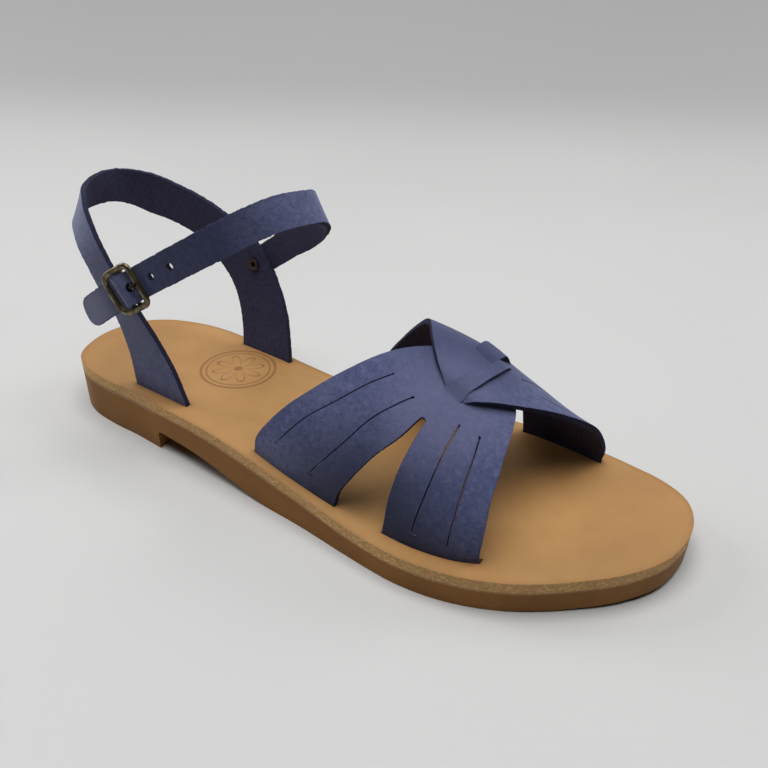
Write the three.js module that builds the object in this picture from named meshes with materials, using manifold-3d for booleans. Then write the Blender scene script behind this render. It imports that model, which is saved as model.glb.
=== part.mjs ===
// A strappy leather sandal for the right foot, in millimetres.
// +X runs to the toe, +Y to the inner side of the foot and +Z up from the floor.
// The origin is on the floor, under the middle of the heel seat.
import * as THREE from "three";
import { mergeVertices } from "three/addons/utils/BufferGeometryUtils.js";
import Module from "manifold-3d";

const wasm = await Module();
wasm.setup();

// Driving sizes of the sole
const SOLE_LENGTH = 258;
const BALL_WIDTH = 92;
const HEEL_SEAT_X = 31; // from the back of the heel to the middle of its seat
const HEEL_THICK = 17.4; // moulded sole under the heel
const FOREFOOT_THICK = 7.6; // moulded sole under the ball
const TOE_RISE = 2.3; // how far the tread face lifts at the toe
const ARCH_RISE = 8.4; // air under the waist, just ahead of the heel breast
const HEEL_BREAST_X = 60.5;
const ARCH_END_X = 124; // where the waist comes down to the floor
const TREAD_CHAMFER = 1.2;

// Driving sizes of the leather
const INSOLE_THICK = 4;
const STRAP_WALL = 2;
const ANKLE_WALL = 1.8;
const INSTEP_HEIGHT = 49.3; // arch of the forefoot straps over the insole, at its middle
const STRAP_SKEW = 20.5; // how far forward a strap's inner foot lies of its outer foot
const SLIT_WIDTH = 0.5;
const LAYER_GAP = 0.5; // air between the crossed halves
const BACK_HEIGHT = 95; // top of the heel strap over the floor
const ANKLE_WIDTH = 11.5;

// Driving sizes of the metal
const BUCKLE_LENGTH = 16.5; // along the strap
const BUCKLE_INSIDE = 13.3; // room across the frame
const BUCKLE_WIRE = 2;
const BUCKLE_CORNER = 3.2;
const BAR_DIAMETER = 1.8;
const BAR_DROP = 2.5; // how far the middle bar lies behind the frame
const PRONG_DIAMETER = 1.4;
const HOLE_DIAMETER = 2.8;
const HOLE_PITCH = 11;
const EYELET_TUBE = 3;
const EYELET_BORE = 2;
const EYELET_FLANGE = 5.2;
const EYELET_FLANGE_THICK = 0.6;

const CLEARANCE = 0.3; // between pieces that touch

const LEATHER_BLUE = { color: 0x3a3f66, roughness: 0.85, metalness: 0 };
const LEATHER_TAN = { color: 0xb07a3c, roughness: 0.5, metalness: 0 };
const SOLE_TAN = { color: 0x8f6234, roughness: 0.55, metalness: 0 };
const OLD_BRASS = { color: 0x6e6142, roughness: 0.4, metalness: 0.9 };

// Rows of plain numbers with one name for each column
const table = (columns, rows) =>
  rows.map((row) => Object.fromEntries(columns.map((name, i) => [name, row[i]])));

// Half widths of the sole, as shares of the ball width, at shares of its length
const SOLE_OUTLINE = [
  { along: 0, inner: 0, outer: 0 },
  { along: 0.02, inner: 0.188, outer: 0.194 },
  { along: 0.06, inner: 0.28, outer: 0.276 },
  { along: 0.12, inner: 0.331, outer: 0.314 },
  { along: 0.18, inner: 0.339, outer: 0.329 },
  { along: 0.27, inner: 0.307, outer: 0.365 },
  { along: 0.37, inner: 0.273, outer: 0.401 },
  { along: 0.45, inner: 0.279, outer: 0.431 },
  { along: 0.53, inner: 0.325, outer: 0.463 },
  { along: 0.61, inner: 0.404, outer: 0.505 },
  { along: 0.69, inner: 0.462, outer: 0.536 },
  { along: 0.76, inner: 0.471, outer: 0.519 },
  { along: 0.83, inner: 0.446, outer: 0.453 },
  { along: 0.9, inner: 0.396, outer: 0.332 },
  { along: 0.95, inner: 0.343, outer: 0.216 },
  { along: 0.985, inner: 0.258, outer: 0.081 },
  { along: 1, inner: 0.111, outer: -0.111 },
];

// Sections of the foot under the forefoot straps: where the straps meet the insole on each side and
// the crest, as shares of the ball width, and the height as a share of the instep height
const SADDLE = [
  { along: 0.41, outer: 0.359, inner: 0.24, crest: 0.025, rise: 0.99 },
  { along: 0.465, outer: 0.392, inner: 0.29, crest: 0.025, rise: 1.033 },
  { along: 0.523, outer: 0.416, inner: 0.35, crest: 0.012, rise: 1.065 },
  { along: 0.581, outer: 0.436, inner: 0.393, crest: 0, rise: 1.053 },
  { along: 0.64, outer: 0.45, inner: 0.433, crest: -0.013, rise: 0.957 },
  { along: 0.698, outer: 0.465, inner: 0.424, crest: -0.025, rise: 0.793 },
  { along: 0.756, outer: 0.446, inner: 0.392, crest: -0.038, rise: 0.631 },
  { along: 0.806, outer: 0.388, inner: 0.353, crest: -0.047, rise: 0.556 },
];
const SADDLE_POWER = { outer: 2.17, inner: 2 }; // 2 is an ellipse, more is squarer

// Cutting pattern of the outer half of the forefoot upper. A row is a share of the way across the
// foot, and its lines are shares of the length: edges, the vent between the wings, and four slits.
const HALF_COLUMNS = [
  "across", "rear", "slitA", "slitB", "ventRear", "ventFront", "slitC", "slitD", "front",
];
const OUTER_HALF = table(HALF_COLUMNS, [
  [0, 0.43, 0.466, 0.538, 0.576, 0.652, 0.695, 0.742, 0.782],
  [0.04, 0.43, 0.462, 0.53, 0.579, 0.651, 0.692, 0.739, 0.778],
  [0.09, 0.444, 0.477, 0.546, 0.592, 0.649, 0.691, 0.736, 0.775],
  [0.16, 0.47, 0.505, 0.571, 0.612, 0.649, 0.691, 0.732, 0.769],
  [0.23, 0.502, 0.541, 0.592, 0.634, 0.651, 0.69, 0.726, 0.761],
  [0.3, 0.532, 0.571, 0.617, 0.647, 0.6535, 0.688, 0.72, 0.754],
  [0.345, 0.549, 0.589, 0.631, 0.655, 0.655, 0.687, 0.714, 0.748],
  [0.42, 0.576, 0.609, 0.636, 0.658, 0.658, 0.682, 0.704, 0.738],
  [0.5, 0.606, 0.626, 0.642, 0.659, 0.659, 0.676, 0.692, 0.722],
  [0.57, 0.634, 0.643, 0.651, 0.66, 0.66, 0.669, 0.678, 0.694],
]);
// The inner half is cut like it, but lies a little further across and forward, over the outer half
const INNER_HALF = table(HALF_COLUMNS, [
  [0, 0.43, 0.466, 0.538, 0.576, 0.652, 0.697, 0.744, 0.778],
  [0.04, 0.431, 0.469, 0.538, 0.58, 0.653, 0.7, 0.748, 0.784],
  [0.09, 0.436, 0.473, 0.541, 0.588, 0.655, 0.704, 0.753, 0.788],
  [0.16, 0.456, 0.496, 0.562, 0.606, 0.658, 0.709, 0.759, 0.788],
  [0.23, 0.487, 0.527, 0.583, 0.628, 0.661, 0.713, 0.761, 0.786],
  [0.3, 0.518, 0.558, 0.608, 0.648, 0.663, 0.713, 0.76, 0.781],
  [0.35, 0.539, 0.577, 0.624, 0.661, 0.665, 0.708, 0.75, 0.775],
  [0.42, 0.566, 0.6, 0.637, 0.665, 0.665, 0.697, 0.722, 0.756],
  [0.5, 0.594, 0.62, 0.645, 0.667, 0.667, 0.687, 0.703, 0.728],
  [0.57, 0.627, 0.638, 0.65, 0.662, 0.662, 0.674, 0.684, 0.697],
  [0.605, 0.651, 0.655, 0.659, 0.663, 0.663, 0.667, 0.671, 0.676],
]);
// Where each line of the pattern is cut open, as shares of the way across
const OUTER_CUTS = {
  slitA: [0.073, 0.347],
  slitB: [0.045, 0.326],
  vent: [-1, 0.3],
  slitC: [0.045, 0.347],
  slitD: [0.045, 0.357],
};
const INNER_CUTS = {
  slitA: [0.073, 0.4],
  slitB: [0.045, 0.37],
  vent: [-1, 0.35],
  slitC: [0.045, 0.4],
  slitD: [0.045, 0.4],
};
// How far each layer's outer face stands over the saddle, as shares of the strap wall
const INNER_LIFT = [
  { across: 0.1, lift: 0 },
  { across: 0.2, lift: 0.3 },
  { across: 0.3, lift: 0.5 },
  { across: 0.42, lift: 1.1 },
  { across: 0.5, lift: 1.25 },
  { across: 0.56, lift: 1.2 },
  { across: 0.585, lift: 0.9 },
  { across: 0.6, lift: 0.25 },
  { across: 0.605, lift: -0.05 },
];
const TAB = [
  { across: 0.37, rear: 0.644, front: 0.669, lift: -0.2 },
  { across: 0.385, rear: 0.647, front: 0.672, lift: -0.04 },
  { across: 0.395, rear: 0.649, front: 0.674, lift: 0.15 },
  { across: 0.405, rear: 0.652, front: 0.676, lift: 0.55 },
  { across: 0.42, rear: 0.657, front: 0.678, lift: 1.2 },
  { across: 0.45, rear: 0.664, front: 0.683, lift: 1.75 },
  { across: 0.49, rear: 0.67, front: 0.686, lift: 1.95 },
  { across: 0.53, rear: 0.673, front: 0.688, lift: 2 },
  { across: 0.57, rear: 0.673, front: 0.687, lift: 1.85 },
  { across: 0.6, rear: 0.675, front: 0.684, lift: 1.2 },
];
const BRIDGE = [
  { across: 0.53, rear: 0.646, front: 0.674, lift: 0.5 },
  { across: 0.56, rear: 0.643, front: 0.673, lift: 1.6 },
  { across: 0.59, rear: 0.641, front: 0.672, lift: 1.9 },
  { across: 0.62, rear: 0.64, front: 0.671, lift: 1.8 },
  { across: 0.645, rear: 0.64, front: 0.671, lift: 1 },
  { across: 0.67, rear: 0.64, front: 0.671, lift: -0.2 },
];

// The heel strap's two edges, from its outer foot round the heel to its inner foot: from the back of
// the heel and across as shares of the sole length and ball width, height as a share of its own
const BACK_STRAP = [
  { frontX: 0.284, frontY: -0.289, frontUp: 0.232, rearX: 0.171, rearY: -0.255, rearUp: 0.232 },
  { frontX: 0.265, frontY: -0.297, frontUp: 0.4, rearX: 0.169, rearY: -0.264, rearUp: 0.4 },
  { frontX: 0.233, frontY: -0.3, frontUp: 0.547, rearX: 0.157, rearY: -0.277, rearUp: 0.563 },
  { frontX: 0.203, frontY: -0.3, frontUp: 0.658, rearX: 0.141, rearY: -0.285, rearUp: 0.642 },
  { frontX: 0.175, frontY: -0.298, frontUp: 0.777, rearX: 0.12, rearY: -0.278, rearUp: 0.732 },
  { frontX: 0.153, frontY: -0.293, frontUp: 0.881, rearX: 0.101, rearY: -0.263, rearUp: 0.795 },
  { frontX: 0.127, frontY: -0.259, frontUp: 0.968, rearX: 0.079, rearY: -0.223, rearUp: 0.835 },
  { frontX: 0.101, frontY: -0.198, frontUp: 0.996, rearX: 0.056, rearY: -0.168, rearUp: 0.856 },
  { frontX: 0.076, frontY: -0.138, frontUp: 0.996, rearX: 0.037, rearY: -0.092, rearUp: 0.866 },
  { frontX: 0.049, frontY: -0.054, frontUp: 0.992, rearX: 0.027, rearY: -0.011, rearUp: 0.869 },
  { frontX: 0.036, frontY: 0.033, frontUp: 1.0, rearX: 0.028, rearY: 0.054, rearUp: 0.869 },
  { frontX: 0.035, frontY: 0.098, frontUp: 1.003, rearX: 0.035, rearY: 0.109, rearUp: 0.865 },
  { frontX: 0.045, frontY: 0.163, frontUp: 1.0, rearX: 0.047, rearY: 0.174, rearUp: 0.842 },
  { frontX: 0.078, frontY: 0.239, frontUp: 0.976, rearX: 0.068, rearY: 0.237, rearUp: 0.797 },
  { frontX: 0.12, frontY: 0.288, frontUp: 0.932, rearX: 0.101, rearY: 0.28, rearUp: 0.763 },
  { frontX: 0.163, frontY: 0.31, frontUp: 0.887, rearX: 0.14, rearY: 0.304, rearUp: 0.716 },
  { frontX: 0.209, frontY: 0.317, frontUp: 0.829, rearX: 0.184, rearY: 0.313, rearUp: 0.616 },
  { frontX: 0.26, frontY: 0.321, frontUp: 0.74, rearX: 0.211, rearY: 0.308, rearUp: 0.531 },
  { frontX: 0.293, frontY: 0.315, frontUp: 0.626, rearX: 0.225, rearY: 0.299, rearUp: 0.442 },
  { frontX: 0.324, frontY: 0.286, frontUp: 0.447, rearX: 0.232, rearY: 0.288, rearUp: 0.326 },
  { frontX: 0.339, frontY: 0.245, frontUp: 0.232, rearX: 0.233, rearY: 0.279, rearUp: 0.232 },
];

// The ankle strap's middle line from its riveted end to the buckle, in the same shares. "Lean" is
// how far its top edge tips in towards the leg, in radians.
const ANKLE_LINE = [
  { along: 0.234, across: 0.341, up: 0.587, lean: 0 },
  { along: 0.262, across: 0.341, up: 0.639, lean: 0 },
  { along: 0.298, across: 0.339, up: 0.708, lean: 0.02 },
  { along: 0.335, across: 0.306, up: 0.778, lean: 0.15 },
  { along: 0.372, across: 0.256, up: 0.842, lean: 0.28 },
  { along: 0.405, across: 0.2, up: 0.914, lean: 0.38 },
  { along: 0.434, across: 0.128, up: 0.996, lean: 0.42 },
  { along: 0.447, across: 0.045, up: 1.052, lean: 0.5 },
  { along: 0.447, across: -0.06, up: 1.074, lean: 0.5 },
  { along: 0.435, across: -0.152, up: 1.076, lean: 0.4 },
  { along: 0.417, across: -0.236, up: 1.054, lean: 0.22 },
  { along: 0.39, across: -0.3, up: 1.009, lean: 0.08 },
  { along: 0.35, across: -0.334, up: 0.944, lean: 0 },
  { along: 0.309, across: -0.35, up: 0.876, lean: 0 },
];
const BUCKLE_AT = { along: 0.23, across: -0.386, up: 0.744 };
const BUCKLE_PITCH = 0.553; // rise of the strap at the buckle, in radians
const BUCKLE_YAW = 0.076;
const TIP_PAST_BUCKLE = 26.5;
const TIP_DROOP = 1.6;

// A closed surface as a solid, with its faces turned out
function solidFrom(positions, triangles) {
  const mesh = new wasm.Mesh({
    numProp: 3,
    vertProperties: new Float32Array(positions),
    triVerts: new Uint32Array(triangles),
  });
  const made = new wasm.Manifold(mesh);
  if (made.volume() > 0) return made;
  const turned = [];
  for (let i = 0; i < triangles.length; i += 3) {
    turned.push(triangles[i], triangles[i + 2], triangles[i + 1]);
  }
  return solidFrom(positions, turned);
}

function solidOf(geometry, matrix = new THREE.Matrix4()) {
  const bare = new THREE.BufferGeometry();
  const whole = geometry.index ? geometry.toNonIndexed() : geometry;
  bare.setAttribute("position", whole.getAttribute("position").clone());
  bare.applyMatrix4(matrix);
  const merged = mergeVertices(bare, 1e-3);
  return solidFrom(merged.attributes.position.array, Array.from(merged.index.array));
}

function geometryOf(solid) {
  const mesh = solid.getMesh();
  const geometry = new THREE.BufferGeometry();
  geometry.setAttribute("position", new THREE.BufferAttribute(mesh.vertProperties, 3));
  geometry.setIndex(new THREE.BufferAttribute(mesh.triVerts, 1));
  return geometry;
}

// A closed wall over cells of pattern places. The first face is the outer one and the last the inner
// one; faces between them only shape the sides, which stand on every edge that one cell alone has.
function wallOf(cells, faces) {
  const indexOf = new Map();
  const places = [];
  const edges = new Map();
  const flat = cells.map((cell) =>
    cell.map(([u, v]) => {
      const key = u.toFixed(6) + " " + v.toFixed(6);
      if (!indexOf.has(key)) {
        indexOf.set(key, places.length);
        places.push([u, v]);
      }
      return indexOf.get(key);
    }),
  );
  const count = places.length;
  const positions = faces.flatMap((face) => places.flatMap(([u, v]) => face(u, v).toArray()));
  const inner = count * (faces.length - 1);
  const triangles = [];
  for (const cell of flat) {
    for (let i = 1; i + 1 < cell.length; i++) {
      const [a, b, c] = [cell[0], cell[i], cell[i + 1]];
      triangles.push(a, b, c, inner + a, inner + c, inner + b);
    }
    cell.forEach((a, i) => {
      const b = cell[(i + 1) % cell.length];
      edges.set(a + " " + b, [a, b]);
    });
  }
  for (const [a, b] of edges.values()) {
    if (edges.has(b + " " + a)) continue;
    for (let layer = 0; layer + 1 < faces.length; layer++) {
      const top = layer * count;
      const low = top + count;
      triangles.push(top + b, top + a, low + a, top + b, low + a, low + b);
    }
  }
  return solidFrom(positions, triangles);
}

// Smooth reading of one column of a table, at a place along its first column
function reading(table, column, at) {
  const [key] = Object.keys(table[0]);
  const last = table.length - 1;
  const clamped = THREE.MathUtils.clamp(at, table[0][key], table[last][key]);
  let i = 0;
  while (i < last - 1 && clamped > table[i + 1][key]) i++;
  const slope = (k) => {
    const before = table[Math.max(k - 1, 0)];
    const after = table[Math.min(k + 1, last)];
    return (after[column] - before[column]) / (after[key] - before[key]);
  };
  const step = table[i + 1][key] - table[i][key];
  const t = (clamped - table[i][key]) / step;
  const rise = table[i + 1][column] - table[i][column];
  const bendA = slope(i) * step - rise;
  const bendB = rise - slope(i + 1) * step;
  return table[i][column] + t * rise + t * (1 - t) * ((1 - t) * bendA + t * bendB);
}

// Heights of the sole, from a distance along it measured from the back of the heel
const SEAT_END = 0.3;
const BALL_START = 0.66;
const SPRING_START = 0.74;

function toeSpring(x) {
  const past = Math.max(x / SOLE_LENGTH - SPRING_START, 0) / (1 - SPRING_START);
  return TOE_RISE * past * past;
}

function insoleTop(x) {
  const drop = THREE.MathUtils.smoothstep(x / SOLE_LENGTH, SEAT_END, BALL_START);
  const thick = THREE.MathUtils.lerp(HEEL_THICK, FOREFOOT_THICK, drop);
  return thick + toeSpring(x) + INSOLE_THICK + CLEARANCE;
}

const place = (x, y, z) => new THREE.Vector3(x - HEEL_SEAT_X, y, z);

// The sole's outline as rungs from its outer to its inner edge, with a single point at heel and toe
const RUNGS = 3 * (SOLE_OUTLINE.length - 1);
const RUNG_STEPS = 4;

function solePlan() {
  const spots = (side, sign) =>
    SOLE_OUTLINE.map(
      (row) => new THREE.Vector3(row.along * SOLE_LENGTH, sign * row[side] * BALL_WIDTH, 0),
    );
  const round = spots("inner", 1).concat(spots("outer", -1).reverse().slice(1, -1));
  const outline = new THREE.CatmullRomCurve3(round, true, "centripetal");
  const inside = [];
  const outside = [];
  for (let i = 0; i <= RUNGS; i++) {
    inside.push(outline.getPoint((0.5 * i) / RUNGS));
    outside.push(outline.getPoint((1 - (0.5 * i) / RUNGS) % 1));
  }
  return { inside, outside };
}

const PLAN = solePlan();

// Cells between the rungs, as pairs of numbers: the rung, and the share of the way across it
function soleCells() {
  const cells = [];
  const spot = (rung, step) =>
    rung === 0 || rung === RUNGS ? [rung, 0.5] : [rung, step / RUNG_STEPS];
  for (let rung = 0; rung < RUNGS; rung++) {
    for (let step = 0; step < RUNG_STEPS; step++) {
      const cell = [
        spot(rung, step),
        spot(rung + 1, step),
        spot(rung + 1, step + 1),
        spot(rung, step + 1),
      ];
      cells.push(cell.filter((p, i) => String(p) !== String(cell[(i + 3) % 4])));
    }
  }
  return cells;
}

// A point of the plan, drawn in towards the middle of the sole by an inset
function planPoint(rung, share, inset = 0) {
  const point = PLAN.outside[rung].clone().lerp(PLAN.inside[rung], share);
  const middle = SOLE_LENGTH / 2;
  point.x = middle + (point.x - middle) * (1 - inset / middle);
  point.y *= 1 - (2 * inset) / BALL_WIDTH;
  return point;
}

function soleLayer(height, inset = 0) {
  return (rung, share) => {
    const point = planPoint(rung, share, inset);
    return place(point.x, point.y, height(point.x));
  };
}

// The moulded sole: wedge from heel to ball, with the heel breast and the arched waist cut out below
function outsole() {
  const body = wallOf(soleCells(), [
    soleLayer((x) => insoleTop(x) - INSOLE_THICK - CLEARANCE),
    soleLayer((x) => toeSpring(x) + TREAD_CHAMFER),
    soleLayer(toeSpring, TREAD_CHAMFER),
  ]);
  const profile = new THREE.Shape();
  const below = -ARCH_RISE;
  const span = ARCH_END_X - HEEL_BREAST_X;
  profile.moveTo(HEEL_BREAST_X, below);
  profile.lineTo(HEEL_BREAST_X, ARCH_RISE - 1);
  profile.quadraticCurveTo(HEEL_BREAST_X, ARCH_RISE, HEEL_BREAST_X + 2, ARCH_RISE);
  profile.bezierCurveTo(
    HEEL_BREAST_X + span * 0.55,
    ARCH_RISE,
    HEEL_BREAST_X + span * 0.7,
    0,
    ARCH_END_X,
    0,
  );
  profile.lineTo(ARCH_END_X, below);
  profile.closePath();
  const cutter = new THREE.ExtrudeGeometry(profile, {
    depth: 2 * BALL_WIDTH,
    bevelEnabled: false,
    curveSegments: 8,
  });
  const stand = new THREE.Matrix4()
    .makeRotationX(Math.PI / 2)
    .setPosition(-HEEL_SEAT_X, BALL_WIDTH, 0);
  return body.subtract(solidOf(cutter, stand));
}

// A point of the forefoot straps' surface: along and across as shares, lift in millimetres outwards
function saddlePoint(along, across, lift) {
  const column = (name) => reading(SADDLE, name, along);
  const crest = column("crest") * BALL_WIDTH;
  const turn = Math.PI * (1 - THREE.MathUtils.clamp(across, 0, 1));
  const c = Math.cos(turn);
  const s = Math.sin(turn);
  const reach = c < 0 ? crest + column("outer") * BALL_WIDTH : column("inner") * BALL_WIDTH - crest;
  const power = c < 0 ? SADDLE_POWER.outer : SADDLE_POWER.inner;
  const scale = (Math.abs(c) ** power + s ** power) ** (-1 / power);
  const x = along * SOLE_LENGTH + STRAP_SKEW * across;
  const y = crest + (reach + lift) * c * scale;
  const rise = (column("rise") * INSTEP_HEIGHT + lift) * s * scale;
  return place(x, y, insoleTop(x) + rise);
}

const LINES = ["rear", "slitA", "slitB", "vent", "slitC", "slitD", "front"];
const LINE_STEPS = [2, 2, 1, 1, 1, 2];
const FEET = [-0.1, 0];
const ACROSS_STEPS = 18;

// Rows of a half: even steps across, with a pair of rows close about the end of each cut
function crossRows(cuts, from, to) {
  const rows = new Set(FEET);
  for (let i = 1; i <= ACROSS_STEPS; i++) rows.add((to * i) / ACROSS_STEPS);
  const ends = Object.values(cuts).flatMap(([start, end]) => [
    [start, start + 0.006],
    [end, end - 0.006],
  ]);
  const apart = (row) => ends.every(([end]) => Math.abs(end - row) > 0.009);
  const kept = [...rows].filter((row) => row <= 0 || apart(row));
  const all = kept.concat(ends.flat().filter((row) => row > 0));
  return all.filter((row, i) => all.indexOf(row) === i && row >= from).sort((a, b) => a - b);
}

// Cells of a half in places (along, across): each line of the pattern opens where it is cut
function halfCells(table, cuts) {
  const tip = table[table.length - 1].across;
  const rows = crossRows(cuts, FEET[0], tip);
  const halfSlit = SLIT_WIDTH / 2 / SOLE_LENGTH;
  const sideOf = (line, across, side) => {
    const at = Math.max(across, 0);
    if (line === "vent") {
      const open = across < cuts.vent[1] - 1e-9;
      const rear = reading(table, "ventRear", at);
      const front = reading(table, "ventFront", at);
      if (!open) return (rear + front) / 2;
      return side < 0 ? rear : front;
    }
    const cut = cuts[line];
    const open = cut && across > cut[0] + 1e-9 && across < cut[1] - 1e-9;
    return reading(table, line, at) + (open ? side * halfSlit : 0);
  };
  const cells = [];
  for (let r = 0; r + 1 < rows.length; r++) {
    for (let k = 0; k + 1 < LINES.length; k++) {
      for (let i = 0; i < LINE_STEPS[k]; i++) {
        const spot = (row, step) => {
          const from = sideOf(LINES[k], rows[row], 1);
          const to = sideOf(LINES[k + 1], rows[row], -1);
          return [from + ((to - from) * step) / LINE_STEPS[k], rows[row]];
        };
        cells.push([spot(r, i), spot(r, i + 1), spot(r + 1, i + 1), spot(r + 1, i)]);
      }
    }
  }
  return cells;
}

// The faces of a half. Below the insole's top it goes straight down into its slot.
function halfFace(mirrored, lift, depth) {
  return (along, across) => {
    const share = mirrored ? 1 - across : across;
    const out = lift(Math.max(across, 0)) + depth;
    const top = saddlePoint(along, THREE.MathUtils.clamp(share, 0, 1), out);
    if (across >= 0) return top;
    return top.setZ(insoleTop(top.x + HEEL_SEAT_X) - INSOLE_THICK);
  };
}

const flatLift = () => 0;
const innerLift = (across) => reading(INNER_LIFT, "lift", across) * (STRAP_WALL + LAYER_GAP);

// A half of the upper, with the strap's wall
function halfSolid(table, cuts, mirrored, lift) {
  return wallOf(halfCells(table, cuts), [
    halfFace(mirrored, lift, 0),
    halfFace(mirrored, lift, -STRAP_WALL),
  ]);
}

// A short strip of the pattern whose rows give its edges and its lift
function stripSolid(table, thick) {
  const cells = [];
  const steps = 12;
  const [first, last] = [table[0].across, table[table.length - 1].across];
  for (let r = 0; r < steps; r++) {
    const spot = (row, side) => {
      const across = first + ((last - first) * row) / steps;
      const rear = reading(table, "rear", across);
      const front = reading(table, "front", across);
      return [rear + ((front - rear) * side) / 2, across];
    };
    for (let i = 0; i < 2; i++) {
      cells.push([spot(r, i), spot(r, i + 1), spot(r + 1, i + 1), spot(r + 1, i)]);
    }
  }
  const face = (depth) => (along, across) =>
    saddlePoint(along, across, reading(table, "lift", across) * (STRAP_WALL + LAYER_GAP) + depth);
  return wallOf(cells, [face(0), face(-thick)]);
}

function upper() {
  const outerHalf = halfSolid(OUTER_HALF, OUTER_CUTS, false, flatLift);
  const innerHalf = halfSolid(INNER_HALF, INNER_CUTS, true, innerLift);
  const tab = stripSolid(TAB, STRAP_WALL);
  const bridge = stripSolid(BRIDGE, STRAP_WALL + LAYER_GAP);
  return outerHalf.add(innerHalf).add(tab).add(bridge);
}

// Slots of the forefoot straps: each wing's foot, grown by the clearance
function wingSlots() {
  const grow = CLEARANCE / SOLE_LENGTH;
  const tables = [
    [OUTER_HALF[0], false],
    [INNER_HALF[0], true],
  ];
  const wings = [
    ["rear", "ventRear"],
    ["ventFront", "front"],
  ];
  return tables.flatMap(([row, mirrored]) =>
    wings.map(([from, to]) => {
      const cells = [];
      const steps = 6;
      const start = row[from] - grow;
      const stride = (row[to] + grow - start) / steps;
      for (let i = 0; i < steps; i++) {
        const along = start + i * stride;
        cells.push([
          [along, 0],
          [along + stride, 0],
          [along + stride, 1],
          [along, 1],
        ]);
      }
      const face = (depth) => (along, level) => {
        const point = saddlePoint(along, mirrored ? 1 : 0, depth);
        const top = insoleTop(point.x + HEEL_SEAT_X);
        return point.setZ(level ? top + INSOLE_THICK : top - 2 * INSOLE_THICK);
      };
      return wallOf(cells, [face(CLEARANCE), face(-STRAP_WALL - CLEARANCE)]);
    }),
  );
}

// A strap between two edges that are smooth curves through paired points, with the distances along
// its middle line
function ribbonOf(pairs) {
  const edge = (name) =>
    new THREE.CatmullRomCurve3(
      pairs.map((pair) => pair[name]),
      false,
      "centripetal",
    );
  const [front, rear] = [edge("front"), edge("rear")];
  const middle = (t) => front.getPoint(t).lerp(rear.getPoint(t), 0.5);
  const samples = 60 * (pairs.length - 1);
  const reach = [0];
  for (let i = 1; i <= samples; i++) {
    reach.push(reach[i - 1] + middle(i / samples).distanceTo(middle((i - 1) / samples)));
  }
  const length = reach[samples];
  const turnAt = (distance) => {
    if (distance <= 0) return 0;
    const i = reach.findIndex((r) => r >= distance);
    if (i < 0) return 1;
    return (i - (reach[i] - distance) / (reach[i] - reach[i - 1])) / samples;
  };
  // Share 0 is on the front edge and 1 on the rear edge; grow widens the strap, depth goes outwards
  const point = (distance, share, depth, grow = 0) => {
    const t = turnAt(distance);
    const [a, b] = [front.getPoint(t), rear.getPoint(t)];
    const span = b.clone().sub(a);
    const step = 0.5 / samples;
    const ahead = middle(Math.min(t + step, 1)).sub(middle(Math.max(t - step, 0)));
    const out = ahead.cross(span).normalize();
    const spread = grow * (2 * share - 1);
    return a.lerp(b, share).addScaledVector(span.normalize(), spread).addScaledVector(out, depth);
  };
  return { length, point, middle, turnAt };
}

function heelRibbon() {
  const spot = (row, side) =>
    place(
      row[side + "X"] * SOLE_LENGTH,
      row[side + "Y"] * BALL_WIDTH,
      row[side + "Up"] * BACK_HEIGHT,
    );
  return ribbonOf(BACK_STRAP.map((row) => ({ front: spot(row, "front"), rear: spot(row, "rear") })));
}

const HEEL = heelRibbon();
const HEEL_ROWS = 48;
const HEEL_STEPS = 3;

// Cells run from the outer foot to the inner foot; a foot goes straight down into its slot
function backBody() {
  const cells = [];
  for (let row = -1; row <= HEEL_ROWS; row++) {
    for (let step = 0; step < HEEL_STEPS; step++) {
      cells.push([
        [row, step],
        [row + 1, step],
        [row + 1, step + 1],
        [row, step + 1],
      ]);
    }
  }
  const face = (depth) => (row, step) => {
    const buried = row < 0 || row > HEEL_ROWS;
    const distance = (THREE.MathUtils.clamp(row, 0, HEEL_ROWS) / HEEL_ROWS) * HEEL.length;
    const point = HEEL.point(distance, step / HEEL_STEPS, depth);
    return buried ? point.setZ(insoleTop(point.x + HEEL_SEAT_X) - INSOLE_THICK) : point;
  };
  return wallOf(cells, [face(STRAP_WALL / 2), face(-STRAP_WALL / 2)]);
}

function backSlots() {
  return [0, HEEL.length].map((distance) => {
    const cells = [];
    for (let step = 0; step < HEEL_STEPS; step++) {
      cells.push([
        [step, 0],
        [step + 1, 0],
        [step + 1, 1],
        [step, 1],
      ]);
    }
    const face = (depth) => (step, level) => {
      const point = HEEL.point(distance, step / HEEL_STEPS, depth, CLEARANCE);
      const top = insoleTop(point.x + HEEL_SEAT_X);
      return point.setZ(level ? top + INSOLE_THICK : top - 2 * INSOLE_THICK);
    };
    const half = STRAP_WALL / 2 + CLEARANCE;
    return wallOf(cells, [face(half), face(-half)]);
  });
}

function insole() {
  const body = wallOf(soleCells(), [
    soleLayer(insoleTop),
    soleLayer((x) => insoleTop(x) - INSOLE_THICK),
  ]);
  return [...wingSlots(), ...backSlots()].reduce((cut, slot) => cut.subtract(slot), body);
}

// The buckle's own frame: x along the strap, y across it and z out from the foot
const BUCKLE = new THREE.Matrix4();
{
  const along = new THREE.Vector3(
    Math.cos(BUCKLE_PITCH) * Math.cos(BUCKLE_YAW),
    Math.cos(BUCKLE_PITCH) * Math.sin(BUCKLE_YAW),
    Math.sin(BUCKLE_PITCH),
  );
  const out = new THREE.Vector3(along.y, -along.x, 0).normalize();
  const up = out.clone().cross(along);
  BUCKLE.makeBasis(along, up, out).setPosition(
    place(BUCKLE_AT.along * SOLE_LENGTH, BUCKLE_AT.across * BALL_WIDTH, BUCKLE_AT.up * BACK_HEIGHT),
  );
}

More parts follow.
